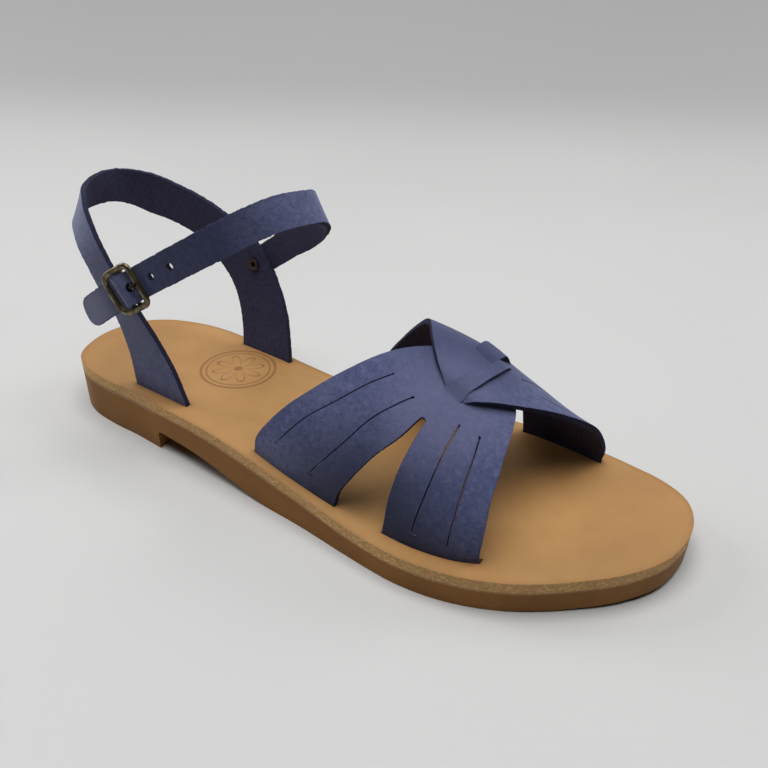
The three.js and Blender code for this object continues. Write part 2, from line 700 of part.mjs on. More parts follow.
const LOOP_WALL = 1.1;
const LOOP_INNER = BAR_DIAMETER / 2 + CLEARANCE;
const LOOP_OUTER = LOOP_INNER + LOOP_WALL;
const BUCKLE_WIDTH = BUCKLE_INSIDE + 2 * BUCKLE_WIRE;
const SIDE_BAR = BUCKLE_LENGTH / 2 - BUCKLE_WIRE / 2;
const OVER_BAR = -BAR_DROP + LOOP_OUTER + CLEARANCE + ANKLE_WALL / 2;
const UNDER_BAR = -BUCKLE_WIRE / 2 - CLEARANCE - ANKLE_WALL / 2;
const UNDER_INSET = 1.5; // the strap stays under a side bar this far in from it
const UNDER_LEAD = 3.5; // and this far out past it
const UNDER_SLACK = 0.3;

// The ankle strap: round the ankle, then under, over and under the buckle's bars
function ankleRibbon() {
  const spots = ANKLE_LINE.map((row) =>
    place(row.along * SOLE_LENGTH, row.across * BALL_WIDTH, row.up * BACK_HEIGHT),
  );
  const half = ANKLE_WIDTH / 2;
  const pairs = spots.map((spot, i) => {
    const ahead = (spots[i + 1] ?? spot).clone().sub(spots[i - 1] ?? spot).normalize();
    const out = new THREE.Vector3(-ahead.y, ahead.x, 0).normalize().negate();
    const rise = ahead.clone().cross(out).negate();
    const across = rise.applyAxisAngle(ahead, ANKLE_LINE[i].lean).multiplyScalar(-half);
    return { front: spot.clone().sub(across), rear: spot.clone().add(across) };
  });
  const under = UNDER_BAR - UNDER_SLACK;
  const tip = UNDER_BAR + UNDER_SLACK;
  const threaded = [
    { x: SIDE_BAR + UNDER_LEAD, y: 0, z: under },
    { x: SIDE_BAR - UNDER_INSET, y: 0, z: under },
    { x: 0, y: 0, z: OVER_BAR + UNDER_SLACK / 3 },
    { x: UNDER_INSET - SIDE_BAR, y: 0, z: under },
    { x: -SIDE_BAR - UNDER_LEAD, y: -0.1 * TIP_DROOP, z: under },
    { x: -TIP_PAST_BUCKLE * 0.75, y: -0.5 * TIP_DROOP, z: tip },
    { x: -TIP_PAST_BUCKLE, y: -TIP_DROOP, z: tip + 0.2 * TIP_DROOP },
  ];
  for (const { x, y, z } of threaded) {
    const spot = (side) => new THREE.Vector3(x, y + side * half, z).applyMatrix4(BUCKLE);
    pairs.push({ front: spot(1), rear: spot(-1) });
  }
  return ribbonOf(pairs);
}

const ANKLE = ankleRibbon();
const ANKLE_ROWS = 76;
const TIP_ROWS = 6;
const TIP_LENGTH = 0.38 * ANKLE_WIDTH;
const TIP_SKEW = 0.15; // how far the tip's point lies under the middle, as a share of the width

// Distances of the rows along the ankle strap and how wide it is there; the tip is rounded
function ankleRows() {
  const straight = ANKLE.length - TIP_LENGTH;
  const rows = [];
  for (let i = 0; i <= ANKLE_ROWS; i++) {
    rows.push({ distance: (straight * i) / ANKLE_ROWS, width: 1, drop: 0 });
  }
  for (let i = 1; i <= TIP_ROWS; i++) {
    const turn = ((i / TIP_ROWS) * Math.PI) / 2;
    const width = Math.max(Math.cos(turn), 0.1);
    const drop = TIP_SKEW * (1 - Math.cos(turn));
    rows.push({ distance: straight + TIP_LENGTH * Math.sin(turn), width, drop });
  }
  return rows;
}

function ankleBody() {
  const rows = ankleRows();
  const cells = [];
  for (let row = 0; row + 1 < rows.length; row++) {
    for (let step = 0; step < 2; step++) {
      cells.push([
        [row, step],
        [row + 1, step],
        [row + 1, step + 1],
        [row, step + 1],
      ]);
    }
  }
  const face = (depth) => (row, step) => {
    const { distance, width, drop } = rows[row];
    return ANKLE.point(distance, 0.5 + drop + (step - 1) * 0.5 * width, depth);
  };
  return wallOf(cells, [face(ANKLE_WALL / 2), face(-ANKLE_WALL / 2)]);
}

// A round pin through the ankle strap, at a distance along it, to punch a hole
function anklePunch(distance, diameter) {
  const low = ANKLE.point(distance, 0.5, -3 * ANKLE_WALL);
  const high = ANKLE.point(distance, 0.5, 3 * ANKLE_WALL);
  return pinBetween(low, high, diameter / 2);
}

function pinBetween(low, high, radius, sides = 12) {
  const axis = high.clone().sub(low);
  const pin = new THREE.CylinderGeometry(radius, radius, axis.length(), sides);
  const turn = new THREE.Quaternion().setFromUnitVectors(new THREE.Vector3(0, 1, 0), axis.normalize());
  const matrix = new THREE.Matrix4().compose(
    low.clone().lerp(high, 0.5),
    turn,
    new THREE.Vector3(1, 1, 1),
  );
  return solidOf(pin, matrix);
}

// The distance along the ankle strap that lies nearest a point
function ankleDistance(target) {
  const steps = 1000;
  const gaps = [];
  for (let i = 0; i <= steps; i++) {
    gaps.push(ANKLE.point((i / steps) * ANKLE.length, 0.5, 0).distanceTo(target));
  }
  return (gaps.indexOf(Math.min(...gaps)) / steps) * ANKLE.length;
}

const PRONG_HOLE_X = 3.1;
const PRONG_AT = ankleDistance(
  new THREE.Vector3(PRONG_HOLE_X, 0, (OVER_BAR + UNDER_BAR) / 2).applyMatrix4(BUCKLE),
);
const EYELET_FROM_END = 8.2;

// The eyelet stands square on the riveted end, and its own z runs outwards from the strap's middle
const LEG_OUTER = -ANKLE_WALL / 2 - CLEARANCE;
const LEG_INNER = LEG_OUTER - STRAP_WALL - CLEARANCE;
const EYELET = new THREE.Matrix4();
{
  const middle = ANKLE.point(EYELET_FROM_END, 0.5, 0);
  const out = ANKLE.point(EYELET_FROM_END, 0.5, 1).sub(middle);
  const turn = new THREE.Quaternion().setFromUnitVectors(new THREE.Vector3(0, 0, 1), out);
  EYELET.compose(middle, turn, new THREE.Vector3(1, 1, 1));
}

function eyeletPunch() {
  const spot = (z) => new THREE.Vector3(0, 0, z).applyMatrix4(EYELET);
  return pinBetween(spot(-3 * STRAP_WALL), spot(3 * STRAP_WALL), EYELET_TUBE / 2 + CLEARANCE);
}

function ankleStrap() {
  const punches = [
    anklePunch(PRONG_AT, HOLE_DIAMETER + 2 * CLEARANCE),
    anklePunch(PRONG_AT - HOLE_PITCH, HOLE_DIAMETER),
    anklePunch(PRONG_AT - 2 * HOLE_PITCH, HOLE_DIAMETER),
    eyeletPunch(),
  ];
  return punches.reduce((cut, punch) => cut.subtract(punch), ankleBody());
}

// Keeper of the buckle: a folded leather tab that lies on the outer leg and loops round the middle
// bar, split for the prong
const KEEPER_TAIL = 16; // from the middle bar to the end of the tab
const KEEPER_BEND = 8; // from the middle bar to where the tab meets the leg
const KEEPER_TO_LEG = 8.9; // from the buckle's plane to the leg
const KEEPER_WIDTH = 0.8 * ANKLE_WIDTH;

function keeper() {
  const profile = new THREE.Shape();
  profile.moveTo(0, -BAR_DROP - LOOP_OUTER);
  profile.absarc(0, -BAR_DROP, LOOP_OUTER, -Math.PI / 2, (7 / 6) * Math.PI, false);
  profile.lineTo(-KEEPER_BEND, -KEEPER_TO_LEG + 2.4 * LOOP_WALL);
  profile.lineTo(-KEEPER_TAIL, -KEEPER_TO_LEG + 2 * LOOP_WALL);
  profile.lineTo(-KEEPER_TAIL, -KEEPER_TO_LEG);
  profile.lineTo(-KEEPER_BEND, -KEEPER_TO_LEG + 0.4 * LOOP_WALL);
  profile.closePath();
  const bore = new THREE.Path();
  bore.absarc(0, -BAR_DROP, LOOP_INNER, 0, 2 * Math.PI, true);
  profile.holes.push(bore);
  const geometry = new THREE.ExtrudeGeometry(profile, {
    depth: KEEPER_WIDTH,
    bevelEnabled: false,
    curveSegments: 8,
  });
  const turn = new THREE.Matrix4().makeRotationX(Math.PI / 2).setPosition(0, KEEPER_WIDTH / 2, 0);
  const whole = solidOf(geometry, BUCKLE.clone().multiply(turn));
  const split = new THREE.BoxGeometry(4 * LOOP_OUTER, PRONG_DIAMETER + 3 * CLEARANCE, 4 * LOOP_OUTER);
  const slot = new THREE.Matrix4().makeTranslation(LOOP_OUTER, 0, -BAR_DROP + LOOP_OUTER);
  return whole.subtract(solidOf(split, BUCKLE.clone().multiply(slot)));
}

function backStrap() {
  return backBody().subtract(eyeletPunch()).add(keeper());
}

// A ring: an outline with rounded corners, with its opening, and soft edges
function roundedFrame(length, width, corner, wire) {
  const outline = (path, l, w, r) => {
    path.moveTo(-l / 2 + r, -w / 2);
    path.lineTo(l / 2 - r, -w / 2);
    path.absarc(l / 2 - r, -w / 2 + r, r, -Math.PI / 2, 0, false);
    path.lineTo(l / 2, w / 2 - r);
    path.absarc(l / 2 - r, w / 2 - r, r, 0, Math.PI / 2, false);
    path.lineTo(-l / 2 + r, w / 2);
    path.absarc(-l / 2 + r, w / 2 - r, r, Math.PI / 2, Math.PI, false);
    path.lineTo(-l / 2, -w / 2 + r);
    path.absarc(-l / 2 + r, -w / 2 + r, r, Math.PI, 1.5 * Math.PI, false);
    return path;
  };
  const bevel = wire * 0.25;
  const thin = 2 * bevel;
  const shape = outline(new THREE.Shape(), length - thin, width - thin, corner - bevel);
  const hole = outline(
    new THREE.Path(),
    length - 2 * wire + thin,
    width - 2 * wire + thin,
    Math.max(corner - wire, wire / 2) + bevel,
  );
  shape.holes.push(hole);
  return new THREE.ExtrudeGeometry(shape, {
    depth: wire - 2 * bevel,
    bevelEnabled: true,
    bevelThickness: bevel,
    bevelSize: bevel,
    bevelSegments: 1,
    curveSegments: 4,
  }).translate(0, 0, -wire / 2 + bevel);
}

// The buckle: cast frame with a middle bar that hangs behind it on two short posts
function buckleFrame() {
  const frame = solidOf(roundedFrame(BUCKLE_LENGTH, BUCKLE_WIDTH, BUCKLE_CORNER, BUCKLE_WIRE), BUCKLE);
  const railY = BUCKLE_WIDTH / 2 - BUCKLE_WIRE / 2;
  const local = (x, y, z) => new THREE.Vector3(x, y, z).applyMatrix4(BUCKLE);
  const bar = pinBetween(local(0, -railY, -BAR_DROP), local(0, railY, -BAR_DROP), BAR_DIAMETER / 2);
  const posts = [-1, 1].map((side) => {
    const post = new THREE.BoxGeometry(BAR_DIAMETER, BUCKLE_WIRE * 0.8, BAR_DROP + BAR_DIAMETER / 2);
    const seat = new THREE.Matrix4().makeTranslation(
      0,
      side * railY,
      -(BAR_DROP + BAR_DIAMETER / 2) / 2,
    );
    return solidOf(post, BUCKLE.clone().multiply(seat));
  });
  return posts.reduce((joined, post) => joined.add(post), frame.add(bar));
}

// The prong: an eye round the middle bar and a pin through the strap onto the front bar
function buckleProng() {
  const inner = BAR_DIAMETER / 2 + CLEARANCE;
  const outer = inner + PRONG_DIAMETER * 0.7;
  const eye = new THREE.Shape();
  eye.absarc(0, 0, outer, 0, 2 * Math.PI, false);
  const bore = new THREE.Path();
  bore.absarc(0, 0, inner, 0, 2 * Math.PI, true);
  eye.holes.push(bore);
  const ring = new THREE.ExtrudeGeometry(eye, {
    depth: PRONG_DIAMETER,
    bevelEnabled: false,
    curveSegments: 8,
  });
  const turn = new THREE.Matrix4()
    .makeRotationX(Math.PI / 2)
    .setPosition(0, PRONG_DIAMETER / 2, -BAR_DROP);
  const eyeSolid = solidOf(ring, BUCKLE.clone().multiply(turn));
  const local = (x, z) => new THREE.Vector3(x, 0, z).applyMatrix4(BUCKLE);
  const mid = (inner + outer) / 2;
  const root = local(mid * 0.7, -BAR_DROP + mid * 0.7);
  const rest = BUCKLE_WIRE / 2 + CLEARANCE + PRONG_DIAMETER / 2;
  const over = local(SIDE_BAR - 1, rest);
  const tip = local(SIDE_BAR + BUCKLE_WIRE / 2, rest);
  const radius = PRONG_DIAMETER / 2;
  const shank = pinBetween(root, over, radius, 8);
  const nose = pinBetween(over, tip, radius, 8);
  const knuckle = solidOf(new THREE.SphereGeometry(radius, 8, 6).translate(over.x, over.y, over.z));
  return eyeSolid.add(shank).add(knuckle).add(nose);
}

// The eyelet: a tube through both straps with a flange inside and outside
function eyelet() {
  const inside = LEG_INNER - 1.5 * CLEARANCE;
  const outside = ANKLE_WALL / 2 + CLEARANCE;
  const profile = [
    [EYELET_BORE / 2, inside - EYELET_FLANGE_THICK],
    [EYELET_FLANGE / 2, inside - EYELET_FLANGE_THICK],
    [EYELET_FLANGE / 2, inside],
    [EYELET_TUBE / 2, inside],
    [EYELET_TUBE / 2, outside],
    [EYELET_FLANGE / 2, outside],
    [EYELET_FLANGE / 2, outside + EYELET_FLANGE_THICK],
    [EYELET_BORE / 2, outside + EYELET_FLANGE_THICK],
    [EYELET_BORE / 2, inside - EYELET_FLANGE_THICK],
  ].map(([r, z]) => new THREE.Vector2(r, z));
  const stand = new THREE.Matrix4().makeRotationX(Math.PI / 2);
  return solidOf(new THREE.LatheGeometry(profile, 16), EYELET.clone().multiply(stand));
}

function piece(name, solid, finish) {
  const mesh = new THREE.Mesh(geometryOf(solid), new THREE.MeshStandardMaterial(finish));
  mesh.name = name;
  return mesh;
}

const sandal = new THREE.Group();
sandal.add(
  piece("outsole", outsole(), SOLE_TAN),
  piece("insole", insole(), LEATHER_TAN),
  piece("upper", upper(), LEATHER_BLUE),
  piece("back_strap", backStrap(), LEATHER_BLUE),
  piece("ankle_strap", ankleStrap(), LEATHER_BLUE),
  piece("buckle_frame", buckleFrame(), OLD_BRASS),
  piece("buckle_prong", buckleProng(), OLD_BRASS),
  piece("eyelet", eyelet(), OLD_BRASS),
);

export default sandal;
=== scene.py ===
# %% [markdown]
# # A strappy leather sandal, for the right foot
# The real sandal is mostly flat leather: a thick tan insole on a moulded sole, and blue straps that
# are cut from 2 mm nubuck, pushed down into slots in the insole and pulled tight over a last.
# So each piece here is made the same way: drawn flat as a pattern, then bent to the foot.
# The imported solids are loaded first, as the fixed frame that every piece has to fit.

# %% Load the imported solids
import math

import bmesh
import bpy
from mathutils import Matrix, Vector, kdtree, noise


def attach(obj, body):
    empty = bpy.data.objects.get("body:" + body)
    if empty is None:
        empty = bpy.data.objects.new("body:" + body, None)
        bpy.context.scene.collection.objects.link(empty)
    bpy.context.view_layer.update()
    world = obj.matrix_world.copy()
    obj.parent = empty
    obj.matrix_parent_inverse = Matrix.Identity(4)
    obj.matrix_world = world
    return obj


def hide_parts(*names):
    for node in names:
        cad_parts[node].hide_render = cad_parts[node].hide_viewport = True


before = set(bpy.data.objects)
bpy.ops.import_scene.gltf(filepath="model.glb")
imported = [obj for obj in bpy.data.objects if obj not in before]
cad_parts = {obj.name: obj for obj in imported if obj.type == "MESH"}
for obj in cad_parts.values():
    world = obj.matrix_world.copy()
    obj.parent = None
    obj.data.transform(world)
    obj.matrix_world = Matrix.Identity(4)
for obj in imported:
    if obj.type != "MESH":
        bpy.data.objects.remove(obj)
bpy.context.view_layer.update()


# %% [markdown]
# ## The camera
# The photograph looks down on the toe from the outer side. Its angles and focal length were found
# by laying the sole's outline over the picture. A phone's lens is a little wide, so the near wing
# looks larger than the far one. The camera matrix is built from its right, up and back directions.

# %% Camera at the photograph's angle
AZIMUTH, ELEVATION, ROLL = (math.radians(angle) for angle in (28.075, 31.417, 1.536))
CAMERA_AT = Vector((0.222810, -0.203286, 0.181054))
FOCAL_SHARE = 739.286 / 768  # focal length over the width of the picture


def photo_camera():
    back = Vector((
        math.sin(AZIMUTH) * math.cos(ELEVATION),
        -math.cos(AZIMUTH) * math.cos(ELEVATION),
        math.sin(ELEVATION),
    ))
    right = (-back).cross(Vector((0, 0, 1))).normalized()
    up = right.cross(-back)
    turned_right = math.cos(ROLL) * right + math.sin(ROLL) * up
    turned_up = -math.sin(ROLL) * right + math.cos(ROLL) * up
    data = bpy.data.cameras.new("photo_camera")
    data.sensor_width = 36
    data.lens = FOCAL_SHARE * data.sensor_width
    data.clip_start = 0.01
    made = bpy.data.objects.new("photo_camera", data)
    made.matrix_world = Matrix((turned_right, turned_up, back)).transposed().to_4x4()
    made.matrix_world.translation = CAMERA_AT
    bpy.context.scene.collection.objects.link(made)
    return made


bpy.context.scene.camera = photo_camera()
print("camera lens:", round(bpy.context.scene.camera.data.lens, 2), "mm")

# %% [markdown]
# ## The last, in numbers
# A shoemaker keeps a last as sections and a pattern as a short list of widths. The same tables
# shape the solids, so the pieces fit them. Lengths are in millimetres and become metres at the end;
# table entries are shares of the sole's length, the ball's width or the height of the heel strap.

# %% Driving sizes
SOLE_LENGTH = 258
BALL_WIDTH = 92
HEEL_SEAT_X = 31
HEEL_THICK = 17.4
FOREFOOT_THICK = 7.6
TOE_RISE = 2.3
ARCH_RISE = 8.4
HEEL_BREAST_X = 60.5
ARCH_END_X = 124
INSOLE_THICK = 4
STRAP_WALL = 2
ANKLE_WALL = 1.8
INSTEP_HEIGHT = 49.3
STRAP_SKEW = 20.5
SLIT_WIDTH = 0.32
LAYER_GAP = 0.5
BACK_HEIGHT = 95
ANKLE_WIDTH = 11.5
CLEARANCE = 0.3
MM = 0.001


def table(columns, *rows):
    return [dict(zip(columns.split(), row)) for row in rows]


# %% Tables of the sole and of the foot under the forefoot straps
SOLE_OUTLINE = table(
    "along inner outer",
    (0, 0, 0),
    (0.02, 0.188, 0.194),
    (0.06, 0.28, 0.276),
    (0.12, 0.331, 0.314),
    (0.18, 0.339, 0.329),
    (0.27, 0.307, 0.365),
    (0.37, 0.273, 0.401),
    (0.45, 0.279, 0.431),
    (0.53, 0.325, 0.463),
    (0.61, 0.404, 0.505),
    (0.69, 0.462, 0.536),
    (0.76, 0.471, 0.519),
    (0.83, 0.446, 0.453),
    (0.9, 0.396, 0.332),
    (0.95, 0.343, 0.216),
    (0.985, 0.258, 0.081),
    (1, 0.111, -0.111),
)
SADDLE = table(
    "along outer inner crest rise",
    (0.41, 0.359, 0.24, 0.025, 0.99),
    (0.465, 0.392, 0.29, 0.025, 1.033),
    (0.523, 0.416, 0.35, 0.012, 1.065),
    (0.581, 0.436, 0.393, 0, 1.053),
    (0.64, 0.45, 0.433, -0.013, 0.957),
    (0.698, 0.465, 0.424, -0.025, 0.793),
    (0.756, 0.446, 0.392, -0.038, 0.631),
    (0.806, 0.388, 0.353, -0.047, 0.556),
)
SADDLE_POWER = {"outer": 2.17, "inner": 2}
HALF_COLUMNS = "across rear slitA slitB ventRear ventFront slitC slitD front"
OUTER_HALF = table(
    HALF_COLUMNS,
    (0, 0.43, 0.466, 0.538, 0.576, 0.652, 0.695, 0.742, 0.782),
    (0.04, 0.43, 0.462, 0.53, 0.579, 0.651, 0.692, 0.739, 0.778),
    (0.09, 0.444, 0.477, 0.546, 0.592, 0.649, 0.691, 0.736, 0.775),
    (0.16, 0.47, 0.505, 0.571, 0.612, 0.649, 0.691, 0.732, 0.769),
    (0.23, 0.502, 0.541, 0.592, 0.634, 0.651, 0.69, 0.726, 0.761),
    (0.3, 0.532, 0.571, 0.617, 0.647, 0.6535, 0.688, 0.72, 0.754),
    (0.345, 0.549, 0.589, 0.631, 0.655, 0.655, 0.687, 0.714, 0.748),
    (0.42, 0.576, 0.609, 0.636, 0.658, 0.658, 0.682, 0.704, 0.738),
    (0.5, 0.606, 0.626, 0.642, 0.659, 0.659, 0.676, 0.692, 0.722),
    (0.57, 0.634, 0.643, 0.651, 0.66, 0.66, 0.669, 0.678, 0.694),
)
INNER_HALF = table(
    HALF_COLUMNS,
    (0, 0.43, 0.466, 0.538, 0.576, 0.652, 0.697, 0.744, 0.778),
    (0.04, 0.431, 0.469, 0.538, 0.58, 0.653, 0.7, 0.748, 0.784),
    (0.09, 0.436, 0.473, 0.541, 0.588, 0.655, 0.704, 0.753, 0.788),
    (0.16, 0.456, 0.496, 0.562, 0.606, 0.658, 0.709, 0.759, 0.788),
    (0.23, 0.487, 0.527, 0.583, 0.628, 0.661, 0.713, 0.761, 0.786),
    (0.3, 0.518, 0.558, 0.608, 0.648, 0.663, 0.713, 0.76, 0.781),
    (0.35, 0.539, 0.577, 0.624, 0.661, 0.665, 0.708, 0.75, 0.775),
    (0.42, 0.566, 0.6, 0.637, 0.665, 0.665, 0.697, 0.722, 0.756),
    (0.5, 0.594, 0.62, 0.645, 0.667, 0.667, 0.687, 0.703, 0.728),
    (0.57, 0.627, 0.638, 0.65, 0.662, 0.662, 0.674, 0.684, 0.697),
    (0.605, 0.651, 0.655, 0.659, 0.663, 0.663, 0.667, 0.671, 0.676),
)
OUTER_CUTS = table(
    "line start end",
    ("slitA", 0.073, 0.347),
    ("slitB", 0.045, 0.326),
    ("vent", -1, 0.3),
    ("slitC", 0.045, 0.347),
    ("slitD", 0.045, 0.357),
)
INNER_CUTS = table(
    "line start end",
    ("slitA", 0.073, 0.4),
    ("slitB", 0.045, 0.37),
    ("vent", -1, 0.35),
    ("slitC", 0.045, 0.4),
    ("slitD", 0.045, 0.4),
)
INNER_LIFT = table(
    "across lift",
    (0.1, 0),
    (0.2, 0.3),
    (0.3, 0.5),
    (0.42, 1.1),
    (0.5, 1.25),
    (0.56, 1.2),
    (0.585, 0.9),
    (0.6, 0.25),
    (0.605, -0.05),
)
TAB = table(
    "across rear front lift",
    (0.37, 0.644, 0.669, -0.2),
    (0.385, 0.647, 0.672, -0.04),
    (0.395, 0.649, 0.674, 0.15),
    (0.405, 0.652, 0.676, 0.55),
    (0.42, 0.657, 0.678, 1.2),
    (0.45, 0.664, 0.683, 1.75),
    (0.49, 0.67, 0.686, 1.95),
    (0.53, 0.673, 0.688, 2),
    (0.57, 0.673, 0.687, 1.85),
    (0.6, 0.675, 0.684, 1.2),
)
BRIDGE = table(
    "across rear front lift",
    (0.53, 0.646, 0.674, 0.5),
    (0.56, 0.643, 0.673, 1.6),
    (0.59, 0.641, 0.672, 1.9),
    (0.62, 0.64, 0.671, 1.8),
    (0.645, 0.64, 0.671, 1),
    (0.67, 0.64, 0.671, -0.2),
)

# %% Tables of the heel strap and the ankle strap
BACK_STRAP = table(
    "frontX frontY frontUp rearX rearY rearUp",
    (0.284, -0.289, 0.232, 0.171, -0.255, 0.232),
    (0.265, -0.297, 0.4, 0.169, -0.264, 0.4),
    (0.233, -0.3, 0.547, 0.157, -0.277, 0.563),
    (0.203, -0.3, 0.658, 0.141, -0.285, 0.642),
    (0.175, -0.298, 0.777, 0.12, -0.278, 0.732),
    (0.153, -0.293, 0.881, 0.101, -0.263, 0.795),
    (0.127, -0.259, 0.968, 0.079, -0.223, 0.835),
    (0.101, -0.198, 0.996, 0.056, -0.168, 0.856),
    (0.076, -0.138, 0.996, 0.037, -0.092, 0.866),
    (0.049, -0.054, 0.992, 0.027, -0.011, 0.869),
    (0.036, 0.033, 1.0, 0.028, 0.054, 0.869),
    (0.035, 0.098, 1.003, 0.035, 0.109, 0.865),
    (0.045, 0.163, 1.0, 0.047, 0.174, 0.842),
    (0.078, 0.239, 0.976, 0.068, 0.237, 0.797),
    (0.12, 0.288, 0.932, 0.101, 0.28, 0.763),
    (0.163, 0.31, 0.887, 0.14, 0.304, 0.716),
    (0.209, 0.317, 0.829, 0.184, 0.313, 0.616),
    (0.26, 0.321, 0.74, 0.211, 0.308, 0.531),
    (0.293, 0.315, 0.626, 0.225, 0.299, 0.442),
    (0.324, 0.286, 0.447, 0.232, 0.288, 0.326),
    (0.339, 0.245, 0.232, 0.233, 0.279, 0.232),
)
ANKLE_LINE = table(
    "along across up lean",
    (0.234, 0.341, 0.587, 0),
    (0.262, 0.341, 0.639, 0),
    (0.298, 0.339, 0.708, 0.02),
    (0.335, 0.306, 0.778, 0.15),
    (0.372, 0.256, 0.842, 0.28),
    (0.405, 0.2, 0.914, 0.38),
    (0.434, 0.128, 0.996, 0.42),
    (0.447, 0.045, 1.052, 0.5),
    (0.447, -0.06, 1.074, 0.5),
    (0.435, -0.152, 1.076, 0.4),
    (0.417, -0.236, 1.054, 0.22),
    (0.39, -0.3, 1.009, 0.08),
    (0.35, -0.334, 0.944, 0),
    (0.309, -0.35, 0.876, 0),
)

# %% [markdown]
# ## Reading the tables
# Between two rows a value follows a smooth curve that keeps the slope of its neighbours, as a thin
# wooden batten does when it is bent round pins. Outlines and edges of straps are splines through
# their points, spaced by the square root of the distance so that they don't bulge between them.


# %% Smooth readings
def reading(rows, column, at):
    key = next(iter(rows[0]))
    at = min(max(at, rows[0][key]), rows[-1][key])
    i = 0
    while i < len(rows) - 2 and at > rows[i + 1][key]:
        i += 1

    def slope(k):
        before, after = rows[max(k - 1, 0)], rows[min(k + 1, len(rows) - 1)]
        return (after[column] - before[column]) / (after[key] - before[key])

    step = rows[i + 1][key] - rows[i][key]
    t = (at - rows[i][key]) / step
    rise = rows[i + 1][column] - rows[i][column]
    bend_a = slope(i) * step - rise
    bend_b = rise - slope(i + 1) * step
    return rows[i][column] + t * rise + t * (1 - t) * ((1 - t) * bend_a + t * bend_b)


def spline(points, t, closed=False):
    count = len(points)
    at = (count if closed else count - 1) * t
    i = min(int(at), count - 1 if closed else count - 2)
    weight = at - i
    p1, p2 = points[i], points[(i + 1) % count]
    p0 = points[i - 1] if closed or i > 0 else 2 * points[0] - points[1]
    p3 = points[(i + 2) % count] if closed or i + 2 < count else 2 * points[-1] - points[-2]
    gaps = [math.sqrt((b - a).length) for a, b in ((p0, p1), (p1, p2), (p2, p3))]
    d1 = gaps[1] or 1
    d0, d2 = gaps[0] or d1, gaps[2] or d1
    start = ((p1 - p0) / d0 - (p2 - p0) / (d0 + d1) + (p2 - p1) / d1) * d1
    end = ((p2 - p1) / d1 - (p3 - p1) / (d1 + d2) + (p3 - p2) / d2) * d1
    bend = -3 * p1 + 3 * p2 - 2 * start - end
    twist = 2 * p1 - 2 * p2 + start + end
    return p1 + weight * (start + weight * (bend + weight * twist))


def mixed(a, b, share):
    return a + (b - a) * share


def smoothstep(value, low, high):
    t = min(max((value - low) / (high - low), 0), 1)
    return t * t * (3 - 2 * t)


# %% Heights of the sole and the surface of the forefoot straps
def toe_spring(x):
    past = max(x / SOLE_LENGTH - 0.74, 0) / 0.26
    return TOE_RISE * past * past


def insole_top(x):
    thick = mixed(HEEL_THICK, FOREFOOT_THICK, smoothstep(x / SOLE_LENGTH, 0.3, 0.66))
    return thick + toe_spring(x) + INSOLE_THICK + CLEARANCE


def place(x, y, z):
    return Vector((x - HEEL_SEAT_X, y, z))


def saddle_point(along, across, lift=0.0):
    value = {name: reading(SADDLE, name, along) for name in ("outer", "inner", "crest", "rise")}
    crest = value["crest"] * BALL_WIDTH
    turn = math.pi * (1 - min(max(across, 0), 1))
    c, s = math.cos(turn), max(math.sin(turn), 0)
    side = "outer" if c < 0 else "inner"
    reach = value[side] * BALL_WIDTH + (crest if c < 0 else -crest)
    power = SADDLE_POWER[side]
    scale = (abs(c) ** power + s ** power) ** (-1 / power)
    x = along * SOLE_LENGTH + STRAP_SKEW * across
    rise = (value["rise"] * INSTEP_HEIGHT + lift) * s * scale
    return place(x, crest + (reach + lift) * c * scale, insole_top(x) + rise)


print("instep over the insole:", INSTEP_HEIGHT, "mm, insole at the heel:", insole_top(0), "mm")

# %% [markdown]
# ## Turning a pattern into a piece
# Every piece ends the same way: its mesh is scaled from millimetres to metres, its shading is made
# smooth, it gets its materials and the body it rides on, and the solids it stands for are hidden.
# Cut leather is never quite even, so the points of a cut edge are moved by a little fixed noise.


# %% Helpers that finish a piece
def new_object(name, bm):
    mesh = bpy.data.meshes.new(name)
    bm.to_mesh(mesh)
    bm.free()
    mesh.shade_smooth()
    made = bpy.data.objects.new(name, mesh)
    bpy.context.scene.collection.objects.link(made)
    return made


def finish_piece(name, bm, materials, replaced):
    bmesh.ops.scale(bm, vec=(MM, MM, MM), verts=bm.verts)
    made = new_object(name, bm)
    made.data.set_sharp_from_angle(angle=math.radians(50))
    for material in materials:
        made.data.materials.append(material)
    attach(made, "root")
    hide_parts(*replaced)
    return made


def flat_grid(columns, rows):
    bm = bmesh.new()
    bmesh.ops.create_grid(bm, x_segments=columns, y_segments=rows, size=0.5)
    return bm


def only(kind, items):
    return [item for item in items if isinstance(item, kind)]


def thicken(piece, wall, offset):
    solid = piece.modifiers.new("wall", "SOLIDIFY")
    solid.thickness = wall * MM
    solid.offset = offset
    solid.use_even_offset = True
    solid.material_offset = 1
    solid.material_offset_rim = 2


def soften(piece, width, segments=2, angle=40):
    bevel = piece.modifiers.new("soft_edge", "BEVEL")
    bevel.width = width * MM
    bevel.segments = segments
    bevel.limit_method = "ANGLE"
    bevel.angle_limit = math.radians(angle)
    bevel.harden_normals = True


def wobble(point, grain, salt):
    return noise.noise(Vector(point) / grain + Vector((salt, salt, salt)))


def mark_cut_edge(bm, reach=4.0):
    near = bm.verts.layers.float.new("cut_edge")
    rim = [v for v in bm.verts if v.is_boundary]
    tree = kdtree.KDTree(len(rim))
    for i, v in enumerate(rim):
        tree.insert(v.co, i)
    tree.balance()
    for v in bm.verts:
        v[near] = max(1 - tree.find(v.co)[2] / reach, 0)


# %% [markdown]
# ## Finishes from small node groups
# A real leather's look is several thin effects at once: soft patches from the tannery, a fine nap or
# grain, and loose fibres where the knife went through. Each effect is a node group, so that every
# material takes the same effect at its own scale. A group gives only masks and heights; the shader
# stays in the material. Coordinates are Object coordinates in metres, so a scale of 1000 is 1 mm.


